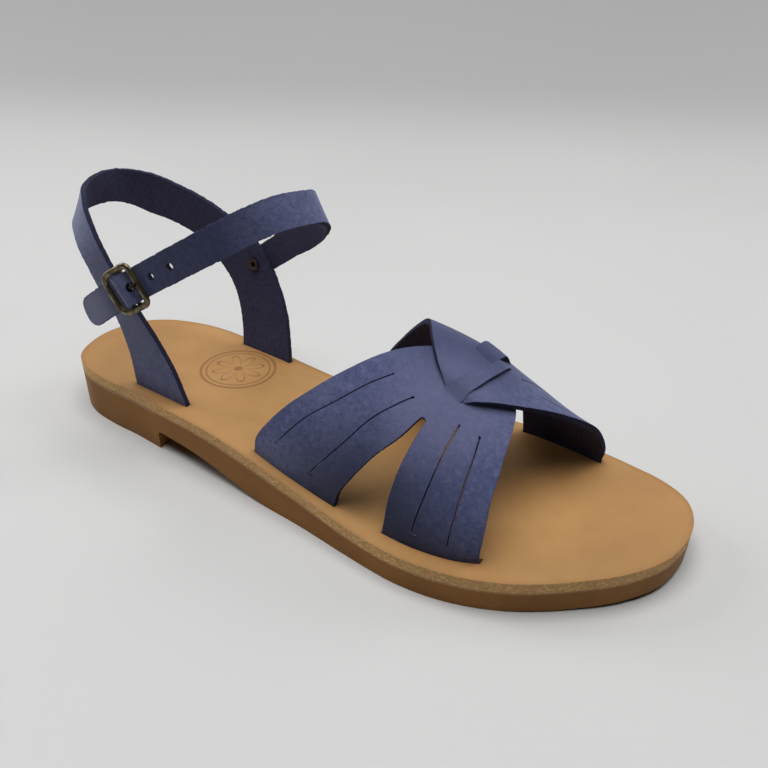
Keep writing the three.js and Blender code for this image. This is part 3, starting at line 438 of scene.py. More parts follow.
# %% Small helpers for nodes
def add(tree, kind, values=(), **settings):
    made = tree.nodes.new("ShaderNode" + kind)
    for name, value in settings.items():
        setattr(made, name, value)
    for key, value in dict(values).items():
        if isinstance(value, bpy.types.NodeSocket):
            tree.links.new(value, made.inputs[key])
        else:
            made.inputs[key].default_value = value
    return made


def maths(tree, operation, *values):
    return add(tree, "Math", enumerate(values), operation=operation).outputs[0]


def blend(tree, share, a, b):
    a, b = (tone if isinstance(tone, bpy.types.NodeSocket) else (*tone, 1) for tone in (a, b))
    return add(tree, "Mix", {0: share, 6: a, 7: b}, data_type="RGBA").outputs[2]


def spread(tree, value, low, high, to_low=0.0, to_high=1.0):
    values = {0: value, 1: low, 2: high, 3: to_low, 4: to_high}
    return add(tree, "MapRange", values, interpolation_type="SMOOTHSTEP").outputs[0]


def new_group(name, inputs, outputs):
    group = bpy.data.node_groups.new(name, "ShaderNodeTree")
    group.interface.new_socket("Vector", in_out="INPUT", socket_type="NodeSocketVector")
    number = {"socket_type": "NodeSocketFloat"}
    for label, value in inputs.items():
        group.interface.new_socket(label, in_out="INPUT", **number).default_value = value
    for label in outputs:
        group.interface.new_socket(label, in_out="OUTPUT", **number)
    return group, group.nodes.new("NodeGroupInput"), group.nodes.new("NodeGroupOutput")


def place_group(tree, group, at, **values):
    values = {name.replace("_", " "): value for name, value in values.items()}
    return add(tree, "Group", {"Vector": at, **values}, node_tree=group).outputs


def tint(tree, colour, mask, share, tone):
    return blend(tree, maths(tree, "MULTIPLY", mask, share), colour, tone)


def attribute(tree, name):
    return add(tree, "Attribute", attribute_name=name).outputs["Fac"]


def cloud(tree, at, scale, detail, **more):
    return add(tree, "TexNoise", {"Vector": at, "Scale": scale, "Detail": detail, **more}).outputs[0]


# %% Effects: soft patches, nap and cut fibres
def soft_patches():
    inputs = {"Scale": 30, "Low": 0.4, "High": 0.62}
    group, given, result = new_group("soft_patches", inputs, ["Mask"])
    at, scale, low, high = given.outputs[:4]
    group.links.new(spread(group, cloud(group, at, scale, 3), low, high), result.inputs[0])
    return group


def short_nap():
    inputs = {"Scale": 1300, "Coarse Scale": 480}
    group, given, result = new_group("short_nap", inputs, ["Height", "Fleck"])
    at, scale, coarse_scale = given.outputs[:3]
    fine, coarse = cloud(group, at, scale, 3), cloud(group, at, coarse_scale, 4)
    both = maths(group, "ADD", fine, coarse)
    group.links.new(maths(group, "MULTIPLY", both, 0.5), result.inputs[0])
    group.links.new(spread(group, fine, 0.35, 0.7), result.inputs[1])
    return group


def cut_fibres():
    inputs = {"Scale": 900, "Layering": 2.5}
    group, given, result = new_group("cut_fibres", inputs, ["Height", "Loose Ends"])
    scale = given.outputs[1]
    layers = add(group, "CombineXYZ", {0: 1, 1: 1, 2: given.outputs[2]}).outputs[0]
    at = add(group, "VectorMath", {0: given.outputs[0], 1: layers}, operation="MULTIPLY").outputs[0]
    ends = add(group, "TexVoronoi", {"Vector": at, "Scale": scale})
    group.links.new(cloud(group, at, scale, 5, Roughness=0.7), result.inputs[0])
    group.links.new(spread(group, ends.outputs[0], 0.05, 0.4, 1, 0), result.inputs[1])
    return group


def patches(tree, at, scale, low, high):
    return place_group(tree, PATCHES, at, Scale=scale, Low=low, High=high)["Mask"]


PATCHES, NAP, FIBRES = soft_patches(), short_nap(), cut_fibres()
print("effects:", [group.name for group in (PATCHES, NAP, FIBRES)])

# %% [markdown]
# ## The leathers of the straps
# Nubuck is the outer side of the hide, sanded to a very short nap: matt, a little paler where the
# nap catches the light, with slow changes of tone. Its flesh side is rougher and almost black, and
# its cut edge shows dark, loose fibres. Sheen gives the pale bloom at grazing angles. A few
# soft spots of another tone, each with a centre, a reach, a share and a tone, are painted light and
# shade: the dark spots are painted shade and the pale spots painted highlights.


# %% Nubuck, flesh side and cut edge
def new_material(name):
    made = bpy.data.materials.new(name)
    made.use_nodes = True
    tree = made.node_tree
    return made, tree, tree.nodes["Principled BSDF"], add(tree, "TexCoord").outputs["Object"]


def bump(tree, shader, height, strength, depth_mm):
    values = {"Height": height, "Strength": strength, "Distance": depth_mm * MM}
    tree.links.new(add(tree, "Bump", values).outputs[0], shader.inputs["Normal"])


def dress(tree, shader, colour, height, levels, **settings):
    tree.links.new(colour, shader.inputs["Base Color"])
    tree.links.new(spread(tree, height, *levels), shader.inputs["Roughness"])
    for name, value in settings.items():
        shader.inputs[name.replace("_", " ")].default_value = value


# Painted shade and painted light: soft spots with a centre, a reach, a share and a dark or pale tone.
PAINTED_LIGHT_AND_SHADE_SPOTS = (
    ((0.13, -0.042, 0.01), 0.046, 0.95, (0.016, 0.019, 0.048)),
    ((0.138, 0.012, 0.066), 0.042, 0.85, (0.036, 0.043, 0.1)),
    ((0.147, -0.018, 0.05), 0.028, 0.6, (0.13, 0.136, 0.24)),
    ((0.0, -0.03, 0.07), 0.05, 0.4, (0.125, 0.13, 0.2)),
    ((0.014, -0.03, 0.05), 0.03, 0.6, (0.12, 0.13, 0.2)),
    ((0.055, -0.032, 0.088), 0.036, 0.65, (0.026, 0.031, 0.07)),
    ((0.006, -0.036, 0.058), 0.016, 0.8, (0.2, 0.21, 0.31)),
)


def nubuck():
    made, tree, shader, at = new_material("blue_nubuck")
    nap = place_group(tree, NAP, at)
    slow = patches(tree, at, 34, 0.38, 0.66)
    small = patches(tree, at, 160, 0.35, 0.68)
    deep, mid, pale = (0.036, 0.045, 0.114), (0.067, 0.08, 0.177), (0.112, 0.122, 0.228)
    colour = blend(tree, slow, mid, pale)
    colour = tint(tree, colour, small, 0.35, mid)
    colour = tint(tree, colour, nap["Fleck"], 0.9, deep)
    colour = blend(tree, spread(tree, nap["Height"], 0.48, 0.62, 0, 0.75), colour, pale)
    # Painted light and shade: each spot pulls the colour towards its dark or pale tone.
    for spot, reach, share, tone in PAINTED_LIGHT_AND_SHADE_SPOTS:
        away = add(tree, "VectorMath", {0: at, 1: spot}, operation="DISTANCE").outputs["Value"]
        colour = blend(tree, spread(tree, away, 0.3 * reach, reach, share, 0), colour, tone)
    rim = attribute(tree, "cut_edge")
    rim = spread(tree, rim, 0.86, 1.0, 0, 0.45)
    colour = blend(tree, rim, colour, deep)
    dress(
        tree, shader, colour, nap["Height"], (0.3, 0.7, 0.95, 0.8), Specular_IOR_Level=0.25,
        Sheen_Weight=0.22, Sheen_Roughness=0.45, Sheen_Tint=(0.72, 0.75, 1.0, 1),
    )
    bump(tree, shader, nap["Height"], 0.7, 0.22)
    return made


def rough_blue(name, dark, pale, scale, depth_mm):
    made, tree, shader, at = new_material(name)
    fibres = place_group(tree, FIBRES, at, Scale=scale, Layering=1.2)
    colour = blend(tree, fibres["Height"], dark, pale)
    colour = tint(tree, colour, fibres["Loose Ends"], 0.25, pale)
    dress(tree, shader, colour, fibres["Height"], (0.2, 0.8, 1.0, 0.88), Specular_IOR_Level=0.15)
    bump(tree, shader, fibres["Height"], 0.8, depth_mm)
    return made


NUBUCK = nubuck()
FLESH_SIDE = rough_blue("blue_flesh_side", (0.012, 0.012, 0.026), (0.076, 0.076, 0.15), 900, 0.3)
CUT_EDGE = rough_blue("blue_cut_edge", (0.006, 0.006, 0.015), (0.035, 0.036, 0.075), 1500, 0.35)
STRAP_FINISH = [NUBUCK, FLESH_SIDE, CUT_EDGE]


def leather_piece(name, bm, node, wall, offset, soft):
    made = finish_piece(name, bm, STRAP_FINISH, [node])
    thicken(made, wall, offset)
    soften(made, soft)
    return made


# %% [markdown]
# ## The tan leather of the insole
# The insole is vegetable-tanned leather with its smooth grain side up: a warm caramel with soft
# blotches, fine pores and a low gloss. Its cut edge was sanded and is a coarse felt of fibres with
# pale ends. A small stamp sits on the heel seat; it is a plain rosette in a ring, pressed in and
# darkened by the hot die. It is drawn from the distance and the turn round its middle.


# %% Insole grain, its stamp and its cut edge
STAMP_AT = (0.041, 0.006)
STAMP_RADIUS = 15.5
STAMP_LINE = 0.55
RING_GAP = 2.2
PETALS = 8
PETAL_ROOT, PETAL_LENGTH = 3.2, 7.5
HEART = (1.5, 2.2)


def line_mask(tree, value, at, half_width):
    away = maths(tree, "ABSOLUTE", maths(tree, "SUBTRACT", value, at))
    return spread(tree, away, half_width * 0.6, half_width * 1.4, 1, 0)


def rosette_stamp():
    group, given, result = new_group("rosette_stamp", {}, ["Mask"])
    parts = add(group, "SeparateXYZ", {0: given.outputs[0]}).outputs
    x, y = (
        maths(group, "MULTIPLY", maths(group, "SUBTRACT", parts[axis], STAMP_AT[axis]), 1 / MM)
        for axis in (0, 1)
    )
    squares = [maths(group, "MULTIPLY", side, side) for side in (x, y)]
    far = maths(group, "SQRT", maths(group, "ADD", *squares))
    turn = maths(group, "ARCTAN2", y, x)
    outer = line_mask(group, far, STAMP_RADIUS, STAMP_LINE)
    inner = line_mask(group, far, STAMP_RADIUS - RING_GAP, STAMP_LINE * 0.6)
    rings = maths(group, "MAXIMUM", outer, inner)
    wave = maths(group, "COSINE", maths(group, "MULTIPLY", turn, PETALS / 2))
    reach = maths(group, "MULTIPLY", maths(group, "ABSOLUTE", wave), PETAL_LENGTH)
    petal = maths(group, "ADD", reach, PETAL_ROOT)
    flower = line_mask(group, maths(group, "SUBTRACT", far, petal), 0, STAMP_LINE)
    flower = maths(group, "MAXIMUM", flower, spread(group, far, *HEART, 1, 0))
    group.links.new(maths(group, "MAXIMUM", rings, flower), result.inputs[0])
    return group


def insole_grain():
    made, tree, shader, at = new_material("insole_grain")
    slow = patches(tree, at, 22, 0.36, 0.66)
    small = patches(tree, at, 120, 0.4, 0.7)
    grain = place_group(tree, NAP, at, Scale=3200, Coarse_Scale=1200)
    colour = blend(tree, slow, (0.352, 0.187, 0.066), (0.405, 0.223, 0.083))
    colour = tint(tree, colour, small, 0.3, (0.315, 0.161, 0.054))
    colour = tint(tree, colour, grain["Fleck"], 0.1, (0.270, 0.136, 0.046))
    rim = spread(tree, attribute(tree, "cut_edge"), 0.4, 1.0, 0, 0.5)
    colour = blend(tree, rim, colour, (0.270, 0.136, 0.046))
    stamp = place_group(tree, rosette_stamp(), at)["Mask"]
    colour = tint(tree, colour, stamp, 0.75, (0.2, 0.085, 0.03))
    dress(tree, shader, colour, grain["Height"], (0.3, 0.7, 0.42, 0.56), Specular_IOR_Level=0.3)
    relief = maths(tree, "SUBTRACT", maths(tree, "MULTIPLY", grain["Height"], 0.25), stamp)
    bump(tree, shader, relief, 0.5, 0.2)
    return made


def insole_edge():
    made, tree, shader, at = new_material("insole_cut_edge")
    fibres = place_group(tree, FIBRES, at, Scale=720, Layering=1.4)
    slow = patches(tree, at, 90, 0.35, 0.65)
    colour = blend(tree, fibres["Height"], (0.2, 0.1, 0.04), (0.88, 0.54, 0.22))
    ends = maths(tree, "MULTIPLY", fibres["Loose Ends"], spread(tree, slow, 0, 1, 0.35, 0.85))
    colour = blend(tree, ends, colour, (0.95, 0.68, 0.36))
    dress(tree, shader, colour, fibres["Height"], (0.2, 0.8, 0.95, 0.75), Specular_IOR_Level=0.25)
    bump(tree, shader, fibres["Height"], 0.9, 0.4)
    return made


INSOLE_GRAIN, INSOLE_EDGE = insole_grain(), insole_edge()

# %% [markdown]
# ## The moulded sole and the metal
# The sole is one moulding in a tan rubber a little darker than the insole, sanded to the outline, so
# its wall has faint streaks along it. The buckle is cast brass with a dark patina that is rubbed
# bright on the high places.


# %% Sole and brass
def moulded_sole():
    made, tree, shader, at = new_material("moulded_sole")
    streaks = place_group(tree, FIBRES, at, Scale=260, Layering=7)
    slow = patches(tree, at, 40, 0.36, 0.66)
    grain = place_group(tree, NAP, at, Scale=2600, Coarse_Scale=900)
    colour = blend(tree, slow, (0.235, 0.102, 0.024), (0.283, 0.127, 0.031))
    colour = blend(tree, spread(tree, streaks["Height"], 0.4, 0.7, 0, 0.3), colour, (0.178, 0.075, 0.018))
    colour = tint(tree, colour, grain["Fleck"], 0.12, (0.146, 0.062, 0.015))
    joint = attribute(tree, "wall_height")
    ends = place_group(tree, FIBRES, at, Scale=700, Layering=1.5)["Loose Ends"]
    bright = maths(tree, "MULTIPLY", spread(tree, joint, 0.9, 0.95), spread(tree, ends, 0, 0.8, 0.35, 1))
    colour = blend(tree, bright, colour, (0.55, 0.34, 0.2))
    dress(tree, shader, colour, grain["Height"], (0.3, 0.7, 0.55, 0.7), Specular_IOR_Level=0.2)
    bump(tree, shader, maths(tree, "ADD", streaks["Height"], grain["Height"]), 0.35, 0.12)
    return made


def old_brass(name, rubbed, dark):
    made, tree, shader, at = new_material(name)
    patina = patches(tree, at, 420, 0.36, 0.66)
    grain = place_group(tree, NAP, at, Scale=3000, Coarse_Scale=1400)
    colour = blend(tree, patina, rubbed, dark)
    colour = tint(tree, colour, grain["Fleck"], 0.35, dark)
    dress(tree, shader, colour, patina, (0, 1, 0.3, 0.55), Metallic=1)
    bump(tree, shader, grain["Height"], 0.35, 0.06)
    return made


SOLE_RUBBER = moulded_sole()
OLD_BRASS = old_brass("old_brass", (0.2, 0.17, 0.105), (0.1, 0.08, 0.045))
DARK_BRASS = old_brass("dark_brass", (0.06, 0.046, 0.034), (0.02, 0.015, 0.012))

# %% [markdown]
# ## The two halves of the forefoot upper
# Each half is one flat piece of leather with two wings, a V between them and four slits, and the
# real ones are die-cut. A grid is the flat hide: its columns follow the lines of the pattern and its
# rows run from the slot in the insole to the crossing. Splitting the grid's edges along a line cuts
# it open, and moving each point onto the foot's surface does what the last does to wet leather.

# %% Make one half
LINES = ("rear", "slitA", "slitB", "vent", "slitC", "slitD", "front")
LINE_STEPS = (6, 6, 5, 5, 6, 6)
HALF_ROWS = 260
BURIED_ROWS = 3
LINE_COLUMNS = [sum(LINE_STEPS[:k]) for k in range(len(LINES))]
BURIED_DEPTH = INSOLE_THICK - 0.6
SLIT_END_HOLE = 0.4
LOW_TAPER, HIGH_TAPER = 4, 1.5
RIM_ROUGH, SLIT_ROUGH = 0.08, 0.02
NEAR_RIM = 0.004  # share of the sole that still counts as the rim
ARC_LENGTH = 165.0  # from foot to foot over the instep, near enough for a slit's taper


def slit_half_width(across, start, end):
    from_low = (across - start) * ARC_LENGTH
    from_high = (end - across) * ARC_LENGTH
    taper = min(from_low / LOW_TAPER, from_high / HIGH_TAPER, 1)
    width = SLIT_WIDTH / 2 * math.sqrt(max(taper, 0))
    bite = from_high - SLIT_END_HOLE
    if abs(bite) < SLIT_END_HOLE:
        width = max(width, math.sqrt(SLIT_END_HOLE**2 - bite * bite))
    return width / SOLE_LENGTH


def line_at(rows, cuts, line, across, side):
    at = max(across, 0)
    cut = cuts.get(line)
    if line == "vent":
        rear, front = (reading(rows, name, at) for name in ("ventRear", "ventFront"))
        return (rear, (rear + front) / 2, front)[side + 1]
    shift = slit_half_width(across, cut["start"], cut["end"]) if cut and side else 0
    return reading(rows, line, at) + side * shift


def trimmed(rows, across):
    return [reading(rows, name, max(across, 0)) for name in ("rear", "ventRear", "ventFront", "front")]


def cut_half(rows, cut_rows, mirrored, lift):
    cuts = {row["line"]: row for row in cut_rows}
    tip = rows[-1]["across"]
    columns = LINE_COLUMNS[-1]
    bm = flat_grid(columns, HALF_ROWS + BURIED_ROWS)

    def spot(co):
        row = round((co.y + 0.5) * (HALF_ROWS + BURIED_ROWS)) - BURIED_ROWS
        return round((co.x + 0.5) * columns), tip * row / HALF_ROWS

    opened = []
    for edge in bm.edges:
        (c0, a0), (c1, a1) = (spot(v.co) for v in edge.verts)
        line = LINES[LINE_COLUMNS.index(c0)] if c0 == c1 and c0 in LINE_COLUMNS else None
        if line in cuts:
            start, end = cuts[line]["start"] - 0.001, cuts[line]["end"] + 0.001
            if start < min(a0, a1) and max(a0, a1) < end:
                opened.append(edge)
    bmesh.ops.split_edges(bm, edges=opened)
    targets = []
    for v in bm.verts:
        column, across = spot(v.co)
        middle = sum(face.calc_center_median().x for face in v.link_faces) / len(v.link_faces)
        side = 0
        if column in LINE_COLUMNS[1:-1] and abs(middle - v.co.x) > 1e-4:
            side = 1 if middle > v.co.x else -1
        k = max(i for i, start in enumerate(LINE_COLUMNS[:-1]) if column >= start)
        if column in LINE_COLUMNS:
            along = line_at(rows, cuts, LINES[LINE_COLUMNS.index(column)], across, side)
        else:
            share = (column - LINE_COLUMNS[k]) / LINE_STEPS[k]
            low, high = (
                line_at(rows, cuts, line, across, open_side(cuts, line, across, facing))
                for line, facing in ((LINES[k], 1), (LINES[k + 1], -1))
            )
            along = mixed(low, high, share)
        targets.append((v, along, across))
    for v, along, across in targets:
        if v.is_boundary and across > 0.01:
            from_rim = min(abs(along - edge) for edge in trimmed(rows, across))
            rough = RIM_ROUGH if from_rim < NEAR_RIM else SLIT_ROUGH
            along += rough / SOLE_LENGTH * wobble((along * SOLE_LENGTH, across * ARC_LENGTH, 0), 1.2, 3.1)
        share = 1 - across if mirrored else across
        share = min(max(share, 0), 1)
        v.co = saddle_point(along, share, lift(max(across, 0)))
        if across < 0:
            v.co.z += across / (tip / HALF_ROWS * BURIED_ROWS) * BURIED_DEPTH
    mark_cut_edge(bm)
    if mirrored:
        bmesh.ops.reverse_faces(bm, faces=bm.faces)
    return bm


def open_side(cuts, line, across, side):
    cut = cuts.get(line)
    return side if cut and cut["start"] < across < cut["end"] else 0


def no_lift(across):
    return 0.0


def inner_lift(across):
    return reading(INNER_LIFT, "lift", across) * (STRAP_WALL + LAYER_GAP)


def forefoot_half(name, *pattern):
    return leather_piece(name, cut_half(*pattern), "upper", STRAP_WALL, -1, 0.16)


outer_half = forefoot_half("forefoot_outer_half", OUTER_HALF, OUTER_CUTS, False, no_lift)
inner_half = forefoot_half("forefoot_inner_half", INNER_HALF, INNER_CUTS, True, inner_lift)
print("faces in the halves:", len(outer_half.data.polygons), len(inner_half.data.polygons))

# %% [markdown]
# ## The crossing: a tab and a bridge
# Where the halves cross, a narrow tab of the outer half passes over the inner half and is held by a
# short bridge. Both are strips, so a small grid with its rows read from a table is enough.


# %% Make the strips of the crossing
def cut_strip(rows, steps=60, columns=12):
    bm = flat_grid(columns, steps)
    first, last = rows[0]["across"], rows[-1]["across"]
    for v in bm.verts:
        across = mixed(first, last, v.co.y + 0.5)
        along = mixed(reading(rows, "rear", across), reading(rows, "front", across), v.co.x + 0.5)
        lift = reading(rows, "lift", across) * (STRAP_WALL + LAYER_GAP)
        v.co = saddle_point(along, across, lift)
    mark_cut_edge(bm)
    return bm


leather_piece("crossing_tab", cut_strip(TAB), "upper", STRAP_WALL, -1, 0.3)
leather_piece("crossing_bridge", cut_strip(BRIDGE), "upper", STRAP_WALL + LAYER_GAP, -1, 0.3)

# %% [markdown]
# ## Straps as ribbons
# The heel strap and the ankle strap are ribbons: two edges that run side by side, with the leather
# between them. A place on one is a distance along it, a share across it and a depth outwards.


# %% Ribbons
class Ribbon:
    def __init__(self, pairs):
        self.front = [front for front, rear in pairs]
        self.rear = [rear for front, rear in pairs]
        self.samples = 60 * (len(pairs) - 1)
        self.reach = [0.0]
        for i in range(1, self.samples + 1):
            step = self.middle(i / self.samples) - self.middle((i - 1) / self.samples)
            self.reach.append(self.reach[-1] + step.length)
        self.length = self.reach[-1]

    def middle(self, t):
        return (spline(self.front, t) + spline(self.rear, t)) / 2

    def turn_at(self, distance):
        low, high = 0, self.samples
        if distance <= 0:
            return 0.0
        if distance >= self.length:
            return 1.0
        while high - low > 1:
            half = (low + high) // 2
            low, high = (half, high) if self.reach[half] < distance else (low, half)
        return (high - (self.reach[high] - distance) / (self.reach[high] - self.reach[low])) / self.samples

    def point(self, distance, share, depth=0.0, grow=0.0):
        t = self.turn_at(distance)
        a, b = spline(self.front, t), spline(self.rear, t)
        step = 0.5 / self.samples
        ahead = self.middle(min(t + step, 1)) - self.middle(max(t - step, 0))
        span = b - a
        out = ahead.cross(span).normalized()
        return a + span * share + span.normalized() * grow * (2 * share - 1) + out * depth


def heel_spot(row, side):
    return place(
        row[side + "X"] * SOLE_LENGTH,
        row[side + "Y"] * BALL_WIDTH,
        row[side + "Up"] * BACK_HEIGHT,
    )


HEEL = Ribbon([(heel_spot(row, "front"), heel_spot(row, "rear")) for row in BACK_STRAP])
print("heel strap:", round(HEEL.length), "mm from slot to slot")

# %% [markdown]
# ## The heel strap
# One strap rises from a slot on the outer side, turns round the back of the heel and goes down into
# a slot on the inner side, where it is widest. The grid's rows follow the ribbon; a few rows past
# each end go straight down into the insole.

# %% Make the heel strap
HEEL_ROWS = 360
HEEL_COLUMNS = 22
HEEL_ROUGH = 0.3


def bend_heel_strap():
    total = HEEL_ROWS + 2 * BURIED_ROWS
    bm = flat_grid(HEEL_COLUMNS, total)
    for v in bm.verts:
        row = (v.co.y + 0.5) * total - BURIED_ROWS
        past = max(-row, row - HEEL_ROWS, 0)
        distance = min(max(row, 0), HEEL_ROWS) / HEEL_ROWS * HEEL.length
        cut = v.is_boundary and not past
        rough = HEEL_ROUGH * wobble((distance, v.co.x * 40, 0), 0.9, 7.7) if cut else 0
        v.co = HEEL.point(distance, v.co.x + 0.5, 0, rough)
        v.co.z -= past / BURIED_ROWS * BURIED_DEPTH
    mark_cut_edge(bm)
    bmesh.ops.reverse_faces(bm, faces=bm.faces)
    return bm


leather_piece("heel_strap", bend_heel_strap(), "back_strap", STRAP_WALL, 0, 0.3)

# %% [markdown]
# ## The buckle's own frame
# The buckle lies flat on the strap, so its pieces are made about its middle, with x along the strap,
# y across it and z outwards, and a matrix puts them where the buckle sits on the outer leg.

# %% Sizes of the metal
BUCKLE_LENGTH = 16.5
BUCKLE_INSIDE = 13.3
BUCKLE_WIRE = 2
BUCKLE_CORNER = 3.2
BAR_DIAMETER = 1.8
BAR_DROP = 2.5
PRONG_DIAMETER = 1.4
HOLE_DIAMETER = 2.8
HOLE_PITCH = 11
EYELET_TUBE = 3
EYELET_BORE = 2
EYELET_FLANGE = 5.2
EYELET_FLANGE_THICK = 0.6
TIP_PAST_BUCKLE = 26.5
TIP_DROOP = 1.6
BUCKLE_AT = place(0.23 * SOLE_LENGTH, -0.386 * BALL_WIDTH, 0.744 * BACK_HEIGHT)
BUCKLE_PITCH = 0.553
BUCKLE_YAW = 0.076
LOOP_WALL = 1.1
LOOP_INNER = BAR_DIAMETER / 2 + CLEARANCE
LOOP_OUTER = LOOP_INNER + LOOP_WALL
SIDE_BAR = BUCKLE_LENGTH / 2 - BUCKLE_WIRE / 2
OVER_BAR = -BAR_DROP + LOOP_OUTER + CLEARANCE + ANKLE_WALL / 2
UNDER_BAR = -BUCKLE_WIRE / 2 - CLEARANCE - ANKLE_WALL / 2
UNDER_INSET = 1.5
UNDER_LEAD = 3.5
UNDER_SLACK = 0.3


def buckle_matrix():
    along = Vector((
        math.cos(BUCKLE_PITCH) * math.cos(BUCKLE_YAW),
        math.cos(BUCKLE_PITCH) * math.sin(BUCKLE_YAW),
        math.sin(BUCKLE_PITCH),
    ))
    out = Vector((along.y, -along.x, 0)).normalized()
    made = Matrix((along, out.cross(along), out)).transposed().to_4x4()
    made.translation = BUCKLE_AT
    return made


BUCKLE = buckle_matrix()

# %% [markdown]
# ## The ankle strap
# It is riveted to the inner leg of the heel strap, runs forward round the ankle and is threaded
# under the buckle's front bar, over its middle bar and under its rear bar. Its last points are given
# in the buckle's frame, so it always goes through. The free end is cut round and hangs a little.


# %% Bend the ankle strap
def ankle_ribbon():
    spots = [
        place(row["along"] * SOLE_LENGTH, row["across"] * BALL_WIDTH, row["up"] * BACK_HEIGHT)
        for row in ANKLE_LINE
    ]
    pairs = []
    for i, spot in enumerate(spots):
        ahead = (spots[min(i + 1, len(spots) - 1)] - spots[max(i - 1, 0)]).normalized()
        out = Vector((ahead.y, -ahead.x, 0)).normalized()
        rise = out.cross(ahead)
        up = Matrix.Rotation(ANKLE_LINE[i]["lean"], 3, ahead) @ rise
        pairs.append((spot + up * ANKLE_WIDTH / 2, spot - up * ANKLE_WIDTH / 2))
    under, tip = UNDER_BAR - UNDER_SLACK, UNDER_BAR + UNDER_SLACK
    threaded = (
        (SIDE_BAR + UNDER_LEAD, 0, under),
        (SIDE_BAR - UNDER_INSET, 0, under),
        (0, 0, OVER_BAR + UNDER_SLACK / 3),
        (UNDER_INSET - SIDE_BAR, 0, under),
        (-SIDE_BAR - UNDER_LEAD, -0.1 * TIP_DROOP, under),
        (-TIP_PAST_BUCKLE * 0.75, -0.5 * TIP_DROOP, tip),
        (-TIP_PAST_BUCKLE, -TIP_DROOP, tip + 0.2 * TIP_DROOP),
    )
    for x, y, z in threaded:
        pairs.append(tuple(BUCKLE @ Vector((x, y + side * ANKLE_WIDTH / 2, z)) for side in (1, -1)))
    return Ribbon(pairs)


ANKLE = ankle_ribbon()
print("ankle strap:", round(ANKLE.length), "mm from its riveted end to its tip")


def ankle_distance(target):
    steps = 1000
    gaps = [(ANKLE.point(i / steps * ANKLE.length, 0.5) - target).length for i in range(steps + 1)]
    return gaps.index(min(gaps)) / steps * ANKLE.length


PRONG_THROUGH = 3.1
PRONG_AT = ankle_distance(BUCKLE @ Vector((PRONG_THROUGH, 0, (OVER_BAR + UNDER_BAR) / 2)))
EYELET_FROM_END = 8.2
ANKLE_HOLES = table(
    "distance radius",
    (PRONG_AT, HOLE_DIAMETER / 2 + CLEARANCE),
    (PRONG_AT - HOLE_PITCH, HOLE_DIAMETER / 2),
    (PRONG_AT - 2 * HOLE_PITCH, HOLE_DIAMETER / 2),
    (EYELET_FROM_END, EYELET_TUBE / 2 + CLEARANCE),
)
TIP_LENGTH = 0.38 * ANKLE_WIDTH
TIP_SKEW = 0.15

# %% Punch its holes and round its tip
ANKLE_ROWS = 420
ANKLE_COLUMNS = 22
ANKLE_ROUGH = 0.26


def ankle_flat():
    """The strap laid flat: x is the distance along it and y the distance across it."""
    bm = flat_grid(ANKLE_ROWS, ANKLE_COLUMNS)
    bmesh.ops.translate(bm, vec=(0.5, 0, 0), verts=bm.verts)
    bmesh.ops.scale(bm, vec=(ANKLE.length, ANKLE_WIDTH, 1), verts=bm.verts)
    for hole in ANKLE_HOLES:
        middle = Vector((hole["distance"], 0, 0))
        punched = [f for f in bm.faces if (f.calc_center_median() - middle).length < hole["radius"]]
        bmesh.ops.delete(bm, geom=punched, context="FACES")
        for v in bm.verts:
            offset = v.co - middle
            if v.is_boundary and offset.length < hole["radius"] + 1:
                v.co = middle + offset.normalized() * hole["radius"]
    straight = ANKLE.length - TIP_LENGTH
    for v in bm.verts:
        past = (v.co.x - straight) / TIP_LENGTH
        if past > 0:
            narrow = math.sqrt(max(1 - past * past, 0.01))
            v.co.y = v.co.y * narrow - TIP_SKEW * ANKLE_WIDTH * (1 - narrow)
    return bm


def bend_ankle():
    bm = ankle_flat()
    for v in bm.verts:
        rough = ANKLE_ROUGH * wobble((v.co.x, v.co.y, 0), 0.9, 5.2) if v.is_boundary else 0
        share = 0.5 - v.co.y / ANKLE_WIDTH
        v.co = ANKLE.point(v.co.x, share, 0, rough)
    mark_cut_edge(bm)
    bmesh.ops.reverse_faces(bm, faces=bm.faces)
    return bm


leather_piece("ankle_strap_leather", bend_ankle(), "ankle_strap", ANKLE_WALL, 0, 0.25)

# %% [markdown]
# ## Insole and sole
# The insole is drawn flat with its slots, cut out, rounded along its upper edge and bent onto the
# sole. The flat face is filled inside the outline and round the slots, then sliced across, because
# a face can only bend where it has edges.

# %% The outline and the slots
OUTLINE_POINTS = 720
PLAN_SIDES = [(row["along"], row["inner"]) for row in SOLE_OUTLINE]
PLAN_SIDES += [(row["along"], -row["outer"]) for row in SOLE_OUTLINE[-2:0:-1]]
PLAN_POINTS = [Vector((x * SOLE_LENGTH, y * BALL_WIDTH, 0)) for x, y in PLAN_SIDES]
RIM_WIDTH = 1.3  # strip of faces kept along the outline for its rounding
SHEET_STEP = 4


def sole_outline():
    count = OUTLINE_POINTS
    return [spline(PLAN_POINTS, i / count, closed=True) for i in range(count)]


def wing_slot(row, mirrored, start, end):
    grow = CLEARANCE / SOLE_LENGTH
    steps = 24
    sides = []
    for depth in (CLEARANCE, -STRAP_WALL - CLEARANCE):
        alongs = [mixed(row[start] - grow, row[end] + grow, i / steps) for i in range(steps + 1)]
        sides.append([saddle_point(along, 1 if mirrored else 0, depth) for along in alongs])
    return sides[0] + sides[1][::-1]


def heel_slot(distance):
    half = STRAP_WALL / 2 + CLEARANCE
    sides = []
    for depth in (half, -half):
        sides.append([HEEL.point(distance, i / 12, depth, CLEARANCE) for i in range(13)])
    return sides[0] + sides[1][::-1]


